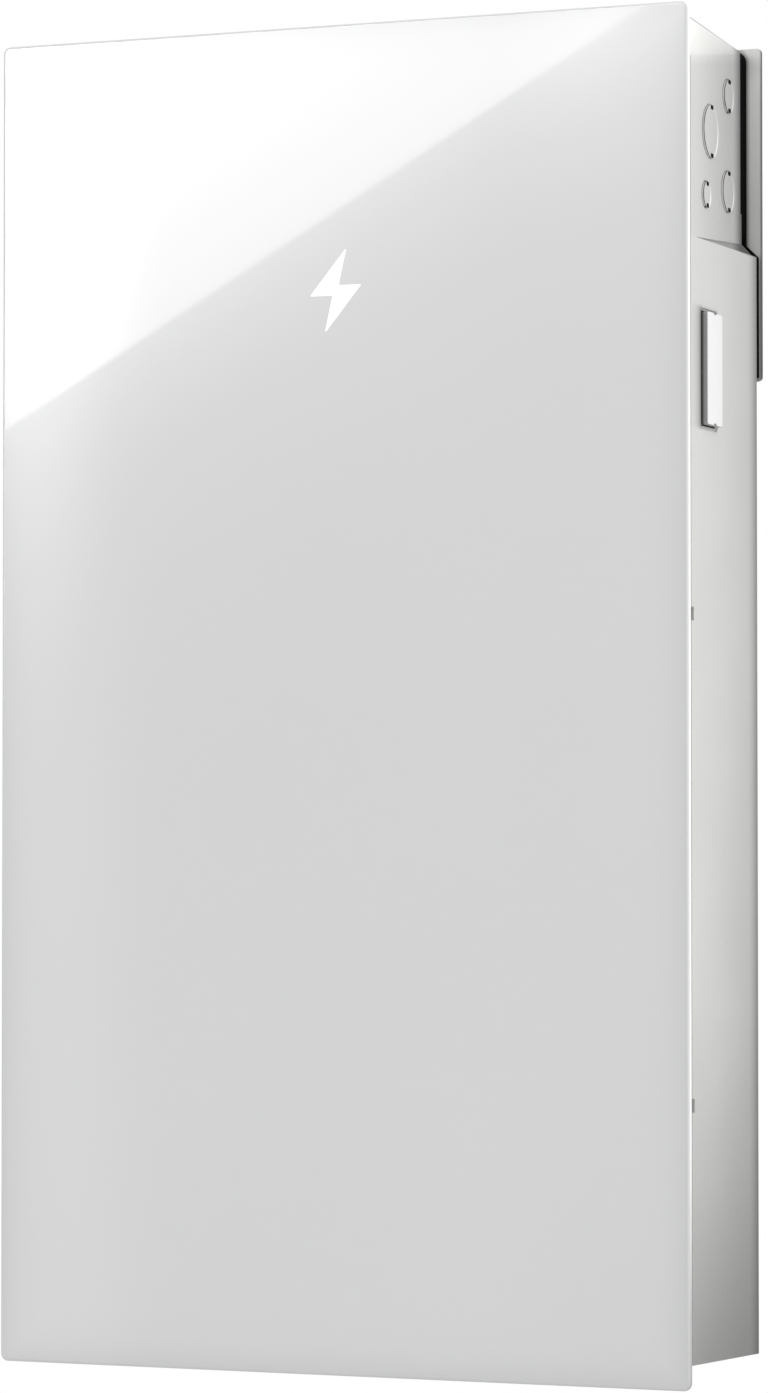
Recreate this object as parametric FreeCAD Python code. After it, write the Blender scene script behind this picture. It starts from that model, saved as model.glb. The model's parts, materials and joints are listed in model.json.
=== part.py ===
"""Wall-hung home battery unit with a built-in inverter, as separate pieces.

Frame: millimetres, +Z up, +X to the right of someone facing the unit, the wall is the plane Y = 0 and
the glass cover faces -Y. The origin is the centre of the wall plate's screw pattern, on the wall.
"""

import math
import os

import FreeCAD
import Part

# ---------------------------------------------------------------- driving dimensions
UNIT_WIDTH = 609.0
UNIT_HEIGHT = 1105.0
UNIT_DEPTH = 193.0

WALL_PLATE_HEIGHT = 278.0
WALL_PLATE_TOP_DROP = 10.0  # the wall plate's top edge, below the glass's top edge
SHEET = 2.5  # enclosure wall
GLASS_THICKNESS = 5.0
GLASS_CORNER = 6.5
COVER_GAP = 1.0  # shadow gap between glass and enclosure rim

# heights of the enclosure's own corners, measured from the glass's edges
TOP_DROP_FRONT = 4.0
TOP_DROP_BACK = 20.1
BOTTOM_RISE_FRONT = 20.0
BOTTOM_RISE_BACK = 12.8

UPPER_BOX_DEPTH = 149.0  # glass face to the wiring box's back
LOWER_BOX_DEPTH = 183.0  # glass face to the battery box's back
UPPER_TAPER = 3.0  # the wiring box's sides lean in by this much at its back
SEAM_RECESS = 4.0  # depth of the tapered seam between the two boxes' sides
FACET_HEIGHT = 39.5  # the wiring box's top corners are bevelled: this tall at the front, nothing at the back
FACET_LEAN = 12.0  # how far that bevel leans in at its front top corner

STUD_SPACING = 406.4  # wall screws fit studs 16 inches apart
WALL_SCREW_RISE = 200.0  # height between the upper and lower wall screws
WALL_HOLE_R = 4.75

KNOCKOUT_R = {"large": 21.85, "medium": 17.25, "small": 14.1, "smallest": 11.1}

# ---------------------------------------------------------------- derived places
HALF_W = UNIT_WIDTH / 2
GLASS_TOP = WALL_PLATE_HEIGHT / 2 + WALL_PLATE_TOP_DROP
GLASS_BOTTOM = GLASS_TOP - UNIT_HEIGHT
GLASS_FACE = -UNIT_DEPTH
GLASS_BACK = GLASS_FACE + GLASS_THICKNESS
RIM = GLASS_BACK + COVER_GAP  # the enclosure's open front edge
UPPER_BACK = GLASS_FACE + UPPER_BOX_DEPTH
LOWER_BACK = GLASS_FACE + LOWER_BOX_DEPTH

TOP_FRONT = GLASS_TOP - TOP_DROP_FRONT
TOP_BACK = GLASS_TOP - TOP_DROP_BACK
BOTTOM_FRONT = GLASS_BOTTOM + BOTTOM_RISE_FRONT
BOTTOM_BACK = GLASS_BOTTOM + BOTTOM_RISE_BACK

# the tapered seam on each side: it starts at a point near the front and opens towards the back
SEAM_START = (GLASS_FACE + 18.0, GLASS_BOTTOM + 917.8)
SEAM_UPPER = (UPPER_BACK, GLASS_BOTTOM + 926.6)
SEAM_LOWER = (LOWER_BACK, GLASS_BOTTOM + 919.2)

FLANGE_FRONT = RIM + 17.0  # the lids are screwed to this flange inside the rim
FLANGE_BACK = FLANGE_FRONT + 2.0
CROSS_LOW, CROSS_HIGH = GLASS_BOTTOM + 900.0, GLASS_BOTTOM + 932.0  # cross bar between the two lids
GASKET = 1.5
LID_SHEET = 1.5

SNAP_X = HALF_W - 14.5
SNAP_HEIGHTS = [GLASS_BOTTOM + h for h in (225.0, 616.0, 1018.0)]
NOTCH_HEIGHTS = SNAP_HEIGHTS[:2]  # the rim is notched beside these snaps

DUCT_FRONT = -54.0  # sheet between the battery and the rear air duct
FAN_X = 150.0
FAN_Z = GLASS_BOTTOM + 66.0
FAN_SIZE = 92.0
FAN_DEPTH = 25.0
FAN_BORE_R = 44.0

SWITCH_Y = GLASS_FACE + 52.8
SWITCH_Z = GLASS_BOTTOM + 814.4
PADDLE_WIDTH = 36.6
PADDLE_HEIGHT = 91.0
PADDLE_PROUD = 5.0
EMBLEM_WIDTH, EMBLEM_HEIGHT, EMBLEM_DEPTH = 46.0, 70.0, 0.4
EMBLEM_Z = GLASS_BOTTOM + 886.0
PADDLE_THICK = 8.0
PADDLE_FACE = 0.9  # the bright face plate on the rocker
PADDLE_CORNER = 3.0
PADDLE_GAP = 1.0  # clearance round the rocker
PADDLE_GAP_FRONT = 2.2  # clearance along its front edge
SWITCH_RECESS = 2.8  # width of the coined recess above and behind the rocker
SWITCH_RECESS_FRONT = 4.0  # its width in front of the rocker
SWITCH_RECESS_FOOT = 3.6  # its width below the rocker
SWITCH_RECESS_DEPTH = 1.3
PIVOT_X = HALF_W - 6.5
PIVOT_R = 1.5
PLUNGER_OFFSET = 26.0  # distance of each plunger above and below the rocker's pivot
PLUNGER_R = 1.6

CELL_COUNT = 16
CELL = (284.0, 100.0, 36.0)  # width, depth, height
CELL_GAP = 0.8
CELL_FRONT = -157.0
STACK_X = 148.0
POST_X = 100.0  # each cell's posts, either side of its middle
TRAY_TOP = GLASS_BOTTOM + 121.0
END_PLATE = 10.0
STACK_BASE = TRAY_TOP + 0.5 + END_PLATE
CELL_PITCH = CELL[2] + CELL_GAP
STACK_TOP = STACK_BASE + CELL_COUNT * CELL_PITCH - CELL_GAP

BOARD_Y = -66.0
BOARD_T = 1.6
HEAT_SINK_FACE = -61.0

V = FreeCAD.Vector
X_AXIS, Y_AXIS, Z_AXIS = V(1, 0, 0), V(0, 1, 0), V(0, 0, 1)
OUT = "parts"


# ---------------------------------------------------------------- small geometry helpers
def box(x0, x1, y0, y1, z0, z1):
    return Part.makeBox(x1 - x0, y1 - y0, z1 - z0, V(x0, y0, z0))


def rod(radius, start, length, axis):
    return Part.makeCylinder(radius, length, V(*start), axis)


def prism_yz(points, x0, x1):
    """A polygon given as (y, z) points, extruded from x0 to x1."""
    loop = [V(x0, y, z) for y, z in points]
    return Part.Face(Part.makePolygon(loop + loop[:1])).extrude(V(x1 - x0, 0, 0))


def prism_xy(points, z0, z1):
    """A polygon given as (x, y) points, extruded from z0 to z1."""
    loop = [V(x, y, z0) for x, y in points]
    return Part.Face(Part.makePolygon(loop + loop[:1])).extrude(V(0, 0, z1 - z0))


def prism_xz(points, y0, y1):
    """A polygon given as (x, z) points, extruded from y0 to y1."""
    loop = [V(x, y0, z) for x, z in points]
    return Part.Face(Part.makePolygon(loop + loop[:1])).extrude(V(0, y1 - y0, 0))


def edges_along(shape, axis, test=None):
    """Straight edges of a shape that run along an axis, kept if test(midpoint) is true."""
    found = []
    for edge in shape.Edges:
        if not isinstance(edge.Curve, Part.Line):
            continue
        if abs(abs(edge.Curve.Direction.dot(axis)) - 1) > 1e-6:
            continue
        if test is None or test(edge.CenterOfMass):
            found.append(edge)
    return found


def rounded(shape, radius, axis, test=None):
    return shape.makeFillet(radius, edges_along(shape, axis, test))


def plate(x0, x1, y0, y1, z0, z1, radius):
    """A box whose four edges along Y are rounded."""
    return rounded(box(x0, x1, y0, y1, z0, z1), radius, Y_AXIS)


def side_plate(x0, x1, y0, y1, z0, z1, radius):
    """A box whose four edges along X are rounded."""
    return rounded(box(x0, x1, y0, y1, z0, z1), radius, X_AXIS)


def softened(shape, radius, test):
    """Rounds every edge whose midpoint passes the test."""
    return shape.makeFillet(radius, [e for e in shape.Edges if test(e.CenterOfMass)])


def cut_all(shape, tools):
    return shape.cut(Part.makeCompound(tools)) if tools else shape


def fuse_all(shapes):
    whole = shapes[0].multiFuse(shapes[1:]) if len(shapes) > 1 else shapes[0]
    return whole.removeSplitter()


def mirrored(shape):
    return shape.mirror(V(0, 0, 0), X_AXIS)


def both_sides(shape):
    return [shape, mirrored(shape)]


def bent_tube(points, radius):
    """A cable: straight runs joined by tangent arcs as large as the runs allow."""
    pts = [V(*p) for p in points]
    edges, here = [], pts[0]
    for before, corner, after in zip(pts, pts[1:], pts[2:]):
        a, b = (before - corner), (after - corner)
        shorter = min(a.Length, b.Length)
        u, w = V(a).normalize(), V(b).normalize()
        half_turn = (math.pi - u.getAngle(w)) / 2
        bend = 0.45 * shorter / math.tan(half_turn)
        cut = bend * math.tan(half_turn)
        start, end = corner + u * cut, corner + w * cut
        toward = (u + w).normalize()
        middle = corner + toward * (bend / math.cos(half_turn) - bend)
        edges += [Part.makeLine(here, start), Part.Arc(start, middle, end).toShape()]
        here = end
    edges.append(Part.makeLine(here, pts[-1]))
    path = Part.Wire(edges)
    section = Part.Wire([Part.makeCircle(radius, pts[0], pts[1] - pts[0])])
    return path.makePipeShell([section], True, True)


def save(name, shapes):
    """Writes one node. Several solids stay separate inside it."""
    shapes = shapes if isinstance(shapes, list) else [shapes]
    solids = [s for shape in shapes for s in shape.Solids]
    for solid in solids:
        assert solid.isValid() and solid.Volume > 0, name
    whole = solids[0] if len(solids) == 1 else Part.makeCompound(solids)
    whole.exportStep(os.path.join(OUT, name + ".step"))


# ---------------------------------------------------------------- wall bracket
HANGER_X = 291.5
HANGER_LOW, HANGER_HIGH = -27.0, 137.5
HANGER_CORNER = 10.0
WING_X = 302.2  # half width over the hanger frame's side wings, behind the battery box
WING_LOW = -136.0
HANGER_FRONT = UPPER_BACK + 4.0
HANGER_SHEET = 2.5
HANGER_LIP = 15.0
WALL_SHEET = 3.0
WINDOW = (110.0, 8.0, 78.0)  # rear cable window: half width, low edge, high edge
HOOK_X = [-190.0, 0.0, 190.0]
HOOK_WIDTH = 60.0


def wall_plate():
    half = WALL_PLATE_HEIGHT / 2
    body = plate(-HALF_W, HALF_W, -WALL_SHEET, 0, -half, half, 4.0)
    holes = []
    for x in (-STUD_SPACING / 2, 0, STUD_SPACING / 2):
        for z in (-WALL_SCREW_RISE / 2, WALL_SCREW_RISE / 2):
            holes.append(rod(WALL_HOLE_R, (x, -WALL_SHEET - 1, z), WALL_SHEET + 2, Y_AXIS))
    w, low, high = WINDOW
    holes.append(plate(-w, w, -WALL_SHEET - 1, 1, low, high, 10.0))
    return cut_all(body, holes)


def hanger_frame():
    """A folded ring standing on the wall plate. Its lower lip, which points up, carries the unit's hooks."""
    x, s, lip = HANGER_X, HANGER_SHEET, HANGER_LIP
    back = -WALL_SHEET
    outer = plate(-x, x, HANGER_FRONT, back, HANGER_LOW, HANGER_HIGH, HANGER_CORNER)
    hollow = plate(-x + s, x - s, HANGER_FRONT + s, back + 1,
                   HANGER_LOW + s, HANGER_HIGH - s, HANGER_CORNER - s)
    mouth = plate(-x + lip, x - lip, HANGER_FRONT - 1, HANGER_FRONT + s + 1,
                  HANGER_LOW + lip, HANGER_HIGH - lip, 6.0)
    ring = outer.cut(hollow).cut(mouth)
    return fuse_all([ring, hanger_wing(), mirrored(hanger_wing())])


def hanger_wing():
    """A flat wing below the frame's corner, between the battery box's back and the wall plate."""
    front, x = LOWER_BACK + 1.5, HANGER_X
    return prism_xz([(x - 8, WING_LOW), (WING_X, WING_LOW), (WING_X, SEAM_LOWER[1] + 1.0),
                     (x, HANGER_LOW + 1.5), (x, HANGER_LOW + 12.0), (x - 8, HANGER_LOW + 12.0)],
                    front, -WALL_SHEET)


def unit_hooks():
    """Hooks on the wiring box's back that drop behind the hanger frame's lower lip."""
    seat = HANGER_LOW + HANGER_LIP
    lip_back = HANGER_FRONT + HANGER_SHEET
    hooks = []
    for x in HOOK_X:
        x0, x1 = x - HOOK_WIDTH / 2, x + HOOK_WIDTH / 2
        foot = box(x0, x1, UPPER_BACK, UPPER_BACK + 2.5, seat, seat + 40)
        arm = box(x0, x1, UPPER_BACK, lip_back + 3.5, seat, seat + 2.5)
        tongue = box(x0, x1, lip_back + 1, lip_back + 3.5, seat - 11, seat + 2.5)
        hook = fuse_all([foot, arm, tongue])
        hooks.append(rounded(hook, 6.0, Y_AXIS, lambda c: c.z > seat + 30))
    return hooks


def wall_spacers():
    """Rubber pads at the foot of the unit that keep it parallel to the wall."""
    pads = []
    for x in (-HALF_W + 30, HALF_W - 30):
        pad = plate(x - 20, x + 20, LOWER_BACK, 0, BOTTOM_BACK + 14, BOTTOM_BACK + 54, 6.0)
        pads.append(softened(pad, 1.5, lambda c: abs(c.y) < 1e-6))
    return pads


# ---------------------------------------------------------------- enclosure
def knockout_places():
    """(y, z, radius) of the conduit knockouts on each side of the wiring box."""
    def at(depth, height, size):
        return GLASS_FACE + depth, GLASS_BOTTOM + height, KNOCKOUT_R[size]
    return [
        at(59.5, 1007.8, "large"),
        at(108.0, 1043.2, "small"),
        at(47.3, 955.2, "smallest"),
        at(106.7, 964.8, "medium"),
    ]


def side_x(y):
    """Half width of the wiring box at a depth, because its sides lean in."""
    return HALF_W - UPPER_TAPER * (y - RIM) / (UPPER_BACK - RIM)


def corner_bevel(inset):
    """What the tapered bevel takes off the wiring box's right top corner."""
    i = inset
    low_front = V(side_x(RIM) - i, RIM, TOP_FRONT - FACET_HEIGHT)
    high_front = V(side_x(RIM) - FACET_LEAN - i, RIM, TOP_FRONT)
    back = V(side_x(UPPER_BACK) - i, UPPER_BACK, TOP_BACK - 1)
    up, along = high_front - low_front, back - low_front
    corners = [low_front - along * 0.2 - up, low_front + along * 1.2 - up,
               low_front + along * 1.2 + up * 2, low_front - along * 0.2 + up * 2]
    return Part.Face(Part.makePolygon(corners + corners[:1])).extrude(V(30, 0, 0))


def boxes(inset, front, seam_inset):
    """The two boxes and the neck between them, all moved in by inset from the outer faces."""
    i = inset
    corner = 8.0 - i
    lower_plan = prism_xy([(-HALF_W + i, front), (HALF_W - i, front),
                           (HALF_W - i, LOWER_BACK - i), (-HALF_W + i, LOWER_BACK - i)],
                          GLASS_BOTTOM, SEAM_START[1] + 30)
    lower_plan = rounded(lower_plan, corner, Z_AXIS, lambda c: c.y > LOWER_BACK - i - 1)
    lower_side = prism_yz([(front, BOTTOM_FRONT + i), (front, SEAM_START[1] - i),
                           (SEAM_START[0], SEAM_START[1] - i), (LOWER_BACK - i, SEAM_LOWER[1] - i),
                           (LOWER_BACK - i, BOTTOM_BACK + i)], -HALF_W, HALF_W)
    lower_side = rounded(lower_side, corner, X_AXIS,
                         lambda c: c.y > LOWER_BACK - i - 1 and c.z < BOTTOM_BACK + i + 1)
    lower = lower_plan.common(lower_side)

    front_x, back_x = side_x(front) - i, side_x(UPPER_BACK) - i
    upper_plan = prism_xy([(-front_x, front), (front_x, front), (back_x, UPPER_BACK - i),
                           (-back_x, UPPER_BACK - i)], SEAM_START[1] - 5, GLASS_TOP)
    upper_plan = rounded(upper_plan, corner, Z_AXIS, lambda c: c.y > UPPER_BACK - i - 1)
    upper_side = prism_yz([(front, SEAM_START[1] + i), (SEAM_START[0], SEAM_START[1] + i),
                           (UPPER_BACK - i, SEAM_UPPER[1] + i), (UPPER_BACK - i, TOP_BACK - i),
                           (front, TOP_FRONT - i)], -HALF_W, HALF_W)
    upper_side = rounded(upper_side, corner + 2, X_AXIS,
                         lambda c: c.y > UPPER_BACK - i - 1 and c.z > TOP_BACK - i - 1)
    upper = upper_plan.common(upper_side)
    upper = upper.cut(corner_bevel(i)).cut(mirrored(corner_bevel(i)))

    neck_x = HALF_W - seam_inset - i
    neck = prism_yz([(front, SEAM_START[1] - 25), (front, SEAM_UPPER[1] + 25),
                     (UPPER_BACK - i, SEAM_UPPER[1] + 25), (UPPER_BACK - i, SEAM_UPPER[1] - i),
                     (LOWER_BACK - i, SEAM_LOWER[1] - i), (LOWER_BACK - i, SEAM_LOWER[1] - 25)],
                    -neck_x, neck_x)
    return lower, upper, neck


def enclosure():
    outer = fuse_all(list(boxes(0.0, RIM, SEAM_RECESS)))
    inner_x = HALF_W - SHEET - 0.5
    strip = box(-inner_x, inner_x, RIM - 3, SEAM_START[0] - 2 * SHEET, SEAM_START[1] - 8, SEAM_START[1] + 8)
    hollow = fuse_all(list(boxes(SHEET, RIM - 3, SEAM_RECESS)) + [strip])
    tub = outer.cut(hollow)

    wall = HALF_W - SHEET
    flange = box(-wall - 0.5, wall + 0.5, FLANGE_FRONT, FLANGE_BACK,
                 BOTTOM_FRONT + 1, TOP_FRONT - 2)
    window = HALF_W - 18.5
    windows = [
        plate(-window, window, FLANGE_FRONT - 1, FLANGE_BACK + 1,
              BOTTOM_FRONT + 18.5, CROSS_LOW, 6.0),
        plate(-window + 3, window - 3, FLANGE_FRONT - 1, FLANGE_BACK + 1,
              CROSS_HIGH, COVER_HIGH - 11.5, 6.0),
    ]
    tub = fuse_all([tub, cut_all(flange.common(outer), windows)])

    raised = [knockout_disc(y, z, r) for y, z, r in knockout_places()]
    tub = fuse_all([tub] + raised + [mirrored(d) for d in raised])
    cuts = rim_notches() + intake_slots() + exhaust_louvres() + switch_cutout()
    cuts += [s for y, z, r in knockout_places() for s in knockout_slots(y, z, r)]
    cuts += [screw_hole(place, 2.5) for place in lid_screw_places() + cover_screw_places()]
    return cut_all(tub, cuts)


def knockout_disc(y, z, radius):
    """A half-sheared disc that stands proud of the leaning side wall."""
    lean = math.atan2(UPPER_TAPER, UPPER_BACK - RIM)
    outward = V(math.cos(lean), math.sin(lean), 0)
    start = V(side_x(y), y, z) - outward * 1.0
    disc = Part.makeCylinder(radius, 2.5, start, outward)
    return disc.makeFillet(0.7, [disc.Edges[0]])


def knockout_slots(y, z, radius):
    """Pry slots through the wall at the top and bottom of a knockout, on both sides of the unit."""
    half = min(3.8, radius * 0.3)
    x = side_x(y)
    slots = []
    for edge in (z - radius + 2.3, z + radius - 2.3):
        slot = side_plate(x - SHEET - 4, x + 4, y - half, y + half, edge - 1.8, edge + 1.8, 1.4)
        slots += both_sides(slot)
    return slots


def rim_notches():
    """Notches in the rim's sides, through which the cover's snaps are released."""
    return [s for z in NOTCH_HEIGHTS
            for s in both_sides(side_plate(HALF_W - 6, HALF_W + 2, RIM - 2, RIM + 6, z - 5.6, z + 5.6, 1.2))]


def intake_slots():
    """Air intake slots in the bottom panel, under the fan plenum."""
    return [box(cx + dx - 1.6, cx + dx + 1.6, -160, -96, GLASS_BOTTOM + 5, GLASS_BOTTOM + 25)
            for cx in (-FAN_X, FAN_X) for dx in range(-84, 85, 12)]


def exhaust_louvres():
    """Exhaust slots in the left side, at the head of the rear air duct."""
    return [side_plate(-HALF_W - 2, -HALF_W + 6, -46, -18, z - 2.2, z + 2.2, 2.0)
            for z in [GLASS_BOTTOM + 780 + 11 * k for k in range(11)]]


def switch_cutout():
    """A coined recess in the side wall, and inside it the opening that the rocker passes through."""
    gap, wide = PADDLE_GAP, SWITCH_RECESS
    y0, y1 = SWITCH_Y - PADDLE_WIDTH / 2, SWITCH_Y + PADDLE_WIDTH / 2
    z0, z1 = SWITCH_Z - PADDLE_HEIGHT / 2, SWITCH_Z + PADDLE_HEIGHT / 2
    opening = side_plate(HALF_W - 6, HALF_W + 2, y0 - PADDLE_GAP_FRONT, y1 + gap,
                         z0 - gap, z1 + gap, PADDLE_CORNER + gap)
    recess = side_plate(HALF_W - SWITCH_RECESS_DEPTH, HALF_W + 2, y0 - SWITCH_RECESS_FRONT, y1 + wide,
                        z0 - SWITCH_RECESS_FOOT, z1 + wide, PADDLE_CORNER + wide)
    return [opening, recess]


# ---------------------------------------------------------------- lids, gaskets and their screws
LID_X = HALF_W - 6.0
LID_LOW, LID_HIGH = BOTTOM_FRONT + 6.0, CROSS_LOW + 14.0
COVER_LOW, COVER_HIGH = CROSS_LOW + 21.0, TOP_FRONT - 16.0
SCREW_INSET = 6.5


def lid_screw_places():
    x = LID_X - SCREW_INSET
    low, high = LID_LOW + SCREW_INSET, LID_HIGH - SCREW_INSET
    rows = [low + (high - low) * k / 6 for k in (0.5, 1.5, 2.5, 3.5, 4.5, 5.85)]
    sides = [(s * x, z) for z in rows for s in (-1, 1)]
    ends = [(c, z) for z in (low, high) for c in (-220.0, -75.0, 75.0, 220.0)]
    return sides + ends


def cover_screw_places():
    x = LID_X - 3 - SCREW_INSET
    low, high = COVER_LOW + SCREW_INSET, COVER_HIGH - SCREW_INSET
    ends = [(c, z) for z in (low, high) for c in (-240.0, -80.0, 80.0, 240.0)]
    return ends + [(s * x, low + (high - low) * 0.32) for s in (-1, 1)]


def screw_hole(place, radius):
    x, z = place
    return rod(radius, (x, FLANGE_FRONT - 12, z), 24, Y_AXIS)


def lid(x_half, low, high, radius, pan_inset):
    """A pressed lid: a flat rim, and a pan raised towards the front inside it."""
    face = FLANGE_FRONT - GASKET - LID_SHEET
    rim = plate(-x_half, x_half, face, face + LID_SHEET, low, high, radius)
    x, z0, z1 = x_half - pan_inset, low + pan_inset, high - pan_inset
    pan = plate(-x, x, face - 4.5, face + 0.5, z0, z1, 8.0)
    pan = softened(pan, 2.0, lambda c: c.y < face - 4.4)
    s = LID_SHEET
    hollow = plate(-x + s, x - s, face - 4.5 + s, face + 3, z0 + s, z1 - s, 6.5)
    return fuse_all([rim, pan]).cut(hollow)


def ribs(x_half, low, high, count, gap):
    """Shallow stiffening ribs pressed into a lid's pan."""
    face = FLANGE_FRONT - GASKET - LID_SHEET - 4.5
    pitch = (high - low) / count
    strips = []
    for k in range(count):
        z = low + pitch * (k + 0.5)
        strip = plate(-x_half, x_half, face - 1.6, face + 0.3, z - pitch / 2 + gap, z + pitch / 2 - gap, 5.0)
        strips.append(softened(strip, 1.0, lambda c, y=face - 1.6: abs(c.y - y) < 1e-3))
    return strips


def battery_lid():
    body = lid(LID_X, LID_LOW, LID_HIGH, 6.0, 16.5)
    body = fuse_all([body] + ribs(LID_X - 60, LID_LOW + 60, LID_HIGH - 60, 6, 22.0))
    return cut_all(body, [screw_hole(p, 2.9) for p in lid_screw_places()])


def wiring_cover():
    body = lid(LID_X - 3, COVER_LOW, COVER_HIGH, 6.0, 15.0)
    body = fuse_all([body] + ribs(LID_X - 70, COVER_LOW + 30, COVER_HIGH - 30, 1, 8.0))
    return cut_all(body, [screw_hole(p, 2.9) for p in cover_screw_places()])


def gasket(x_half, low, high, window, places):
    front, back = FLANGE_FRONT - GASKET, FLANGE_FRONT
    ring = plate(-x_half + 1, x_half - 1, front, back, low + 1, high - 1, 5.0)
    ring = ring.cut(plate(-window, window, front - 1, back + 1, low + 12.4, high - 12.4, 4.0))
    return cut_all(ring, [screw_hole(p, 3.0) for p in places])


def lid_screw(place):
    """Flange-head screw: the head bears on the lid and the shank passes the flange."""
    x, z = place
    face = FLANGE_FRONT - GASKET - LID_SHEET
    flange = rod(5.0, (x, face - 1.0, z), 1.0, Y_AXIS)
    head = rod(3.9, (x, face - 3.6, z), 2.8, Y_AXIS)
    shank = rod(2.4, (x, face - 0.2, z), 12.0, Y_AXIS)
    socket = prism_xz([(x + 2.0 * math.cos(a), z + 2.0 * math.sin(a))
                       for a in [math.radians(60 * k) for k in range(6)]], face - 4.0, face - 1.4)
    return fuse_all([flange, head, shank]).cut(socket)


# ---------------------------------------------------------------- glass cover and its snaps
def emblem():
    """A plain lightning bolt, set flush into the glass's face as a sign for electricity."""
    w, h, z = EMBLEM_WIDTH / 2, EMBLEM_HEIGHT / 2, EMBLEM_Z
    bolt = [(0.42 * w, h), (-w, -0.12 * h), (-0.12 * w, -0.12 * h),
            (-0.42 * w, -h), (w, 0.12 * h), (0.12 * w, 0.12 * h)]
    shape = prism_xz([(x, z + dz) for x, dz in bolt], GLASS_FACE, GLASS_FACE + EMBLEM_DEPTH)
    return rounded(shape, 0.6, Y_AXIS)


def front_glass():
    pane = plate(-HALF_W, HALF_W, GLASS_FACE, GLASS_BACK, GLASS_BOTTOM, GLASS_TOP, GLASS_CORNER)
    pane = softened(pane, 2.4, lambda c: abs(c.y - GLASS_FACE) < 1e-6)
    pane = softened(pane, 0.8, lambda c: abs(c.y - GLASS_BACK) < 1e-6)
    return pane.cut(emblem())


CARRIER_FRONT = GLASS_BACK + 0.6
CARRIER_BACK = CARRIER_FRONT + 1.8
CARRIER_X = HALF_W - 7.5
CARRIER_LOW, CARRIER_HIGH = BOTTOM_FRONT + 7.0, TOP_FRONT - 19.0


def cover_carrier():
    """The thin metal sheet that stiffens the glass, with a turned-back lip along its long sides."""
    x, s = CARRIER_X, CARRIER_BACK - CARRIER_FRONT
    sheet = plate(-x, x, CARRIER_FRONT, CARRIER_BACK, CARRIER_LOW, CARRIER_HIGH, 6.0)
    lips = []
    for z0, z1 in zip([CARRIER_LOW + 12] + [h + 24 for h in SNAP_HEIGHTS],
                      [h - 24 for h in SNAP_HEIGHTS] + [CARRIER_HIGH - 12]):
        if z1 - z0 > 40:
            lips += [box(-x, -x + s, CARRIER_FRONT, CARRIER_BACK + 4, z0, z1),
                     box(x - s, x, CARRIER_FRONT, CARRIER_BACK + 4, z0, z1)]
    return fuse_all([sheet] + lips)


def cover_bond():
    """Adhesive strips between the glass and its carrier."""
    x, z0, z1 = CARRIER_X - 4, CARRIER_LOW + 4, CARRIER_HIGH - 4
    rows = [z0 + (z1 - z0) * k / 6 for k in range(1, 6)]
    uprights = [box(s * (x - 9) - 9, s * (x - 9) + 9, GLASS_BACK, CARRIER_FRONT, z0, z1) for s in (-1, 1)]
    return uprights + [box(-x + 24, x - 24, GLASS_BACK, CARRIER_FRONT, z - 9, z + 9) for z in rows]


def snap_studs():
    """Studs on the cover's carrier that snap into the clips on the enclosure."""
    studs = []
    for z in SNAP_HEIGHTS:
        for x in (-SNAP_X, SNAP_X):
            base = rod(6.0, (x, CARRIER_BACK, z), 1.2, Y_AXIS)
            neck = rod(2.6, (x, CARRIER_BACK + 1, z), 6.0, Y_AXIS)
            ball = Part.makeSphere(3.6, V(x, CARRIER_BACK + 8.2, z))
            studs.append(fuse_all([base, neck, ball]))
    return studs


def snap_clips():
    """Plastic clips on the lid flange. Each has a flared bore that takes one stud."""
    clips = []
    front = CARRIER_BACK + 4.0
    for z in SNAP_HEIGHTS:
        for side in (-1, 1):
            x = side * SNAP_X
            block = plate(x - 7, x + 7, front, FLANGE_FRONT - GASKET - LID_SHEET - 0.2, z - 9, z + 9, 2.5)
            bore = rod(4.0, (x, front - 1, z), 20, Y_AXIS)
            flare = Part.makeCone(5.5, 4.0, 1.5, V(x, front - 0.01, z), Y_AXIS)
            slit = box(x - 0.6, x + 0.6, front - 1, front + 5, z - 12, z + 12)
            clips.append(block.cut(bore).cut(flare).cut(slit))
    return clips


# ---------------------------------------------------------------- side switch
def switch_housing():
    """The well behind the side wall that the rocker sits in, with ears for its pivot pin."""
    wall = HALF_W - SHEET
    y0, y1 = SWITCH_Y - PADDLE_WIDTH / 2, SWITCH_Y + PADDLE_WIDTH / 2
    z0, z1 = SWITCH_Z - PADDLE_HEIGHT / 2, SWITCH_Z + PADDLE_HEIGHT / 2
    g = PADDLE_GAP
    body = side_plate(wall - 15, wall - 1, y0 - 6, y1 + 6, z0 - 6, z1 + 6, 6.0)
    well = side_plate(wall - 12, wall + 1, y0 - PADDLE_GAP_FRONT, y1 + g, z0 - g, z1 + g, PADDLE_CORNER + g)
    ears = [box(wall - 12.5, wall - 1.4, y, y + 2.2, SWITCH_Z - 7, SWITCH_Z + 7)
            for y in (SWITCH_Y - 14, SWITCH_Y + 11.8)]
    pin = rod(PIVOT_R, (PIVOT_X, SWITCH_Y - 14.5, SWITCH_Z), 29, Y_AXIS)
    body = fuse_all([body.cut(well)] + ears)
    bores = [rod(PLUNGER_R + 0.3, (wall - 16, SWITCH_Y, SWITCH_Z + s * PLUNGER_OFFSET), 6, X_AXIS)
             for s in (-1, 1)]
    return cut_all(body, [pin] + bores)


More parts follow.
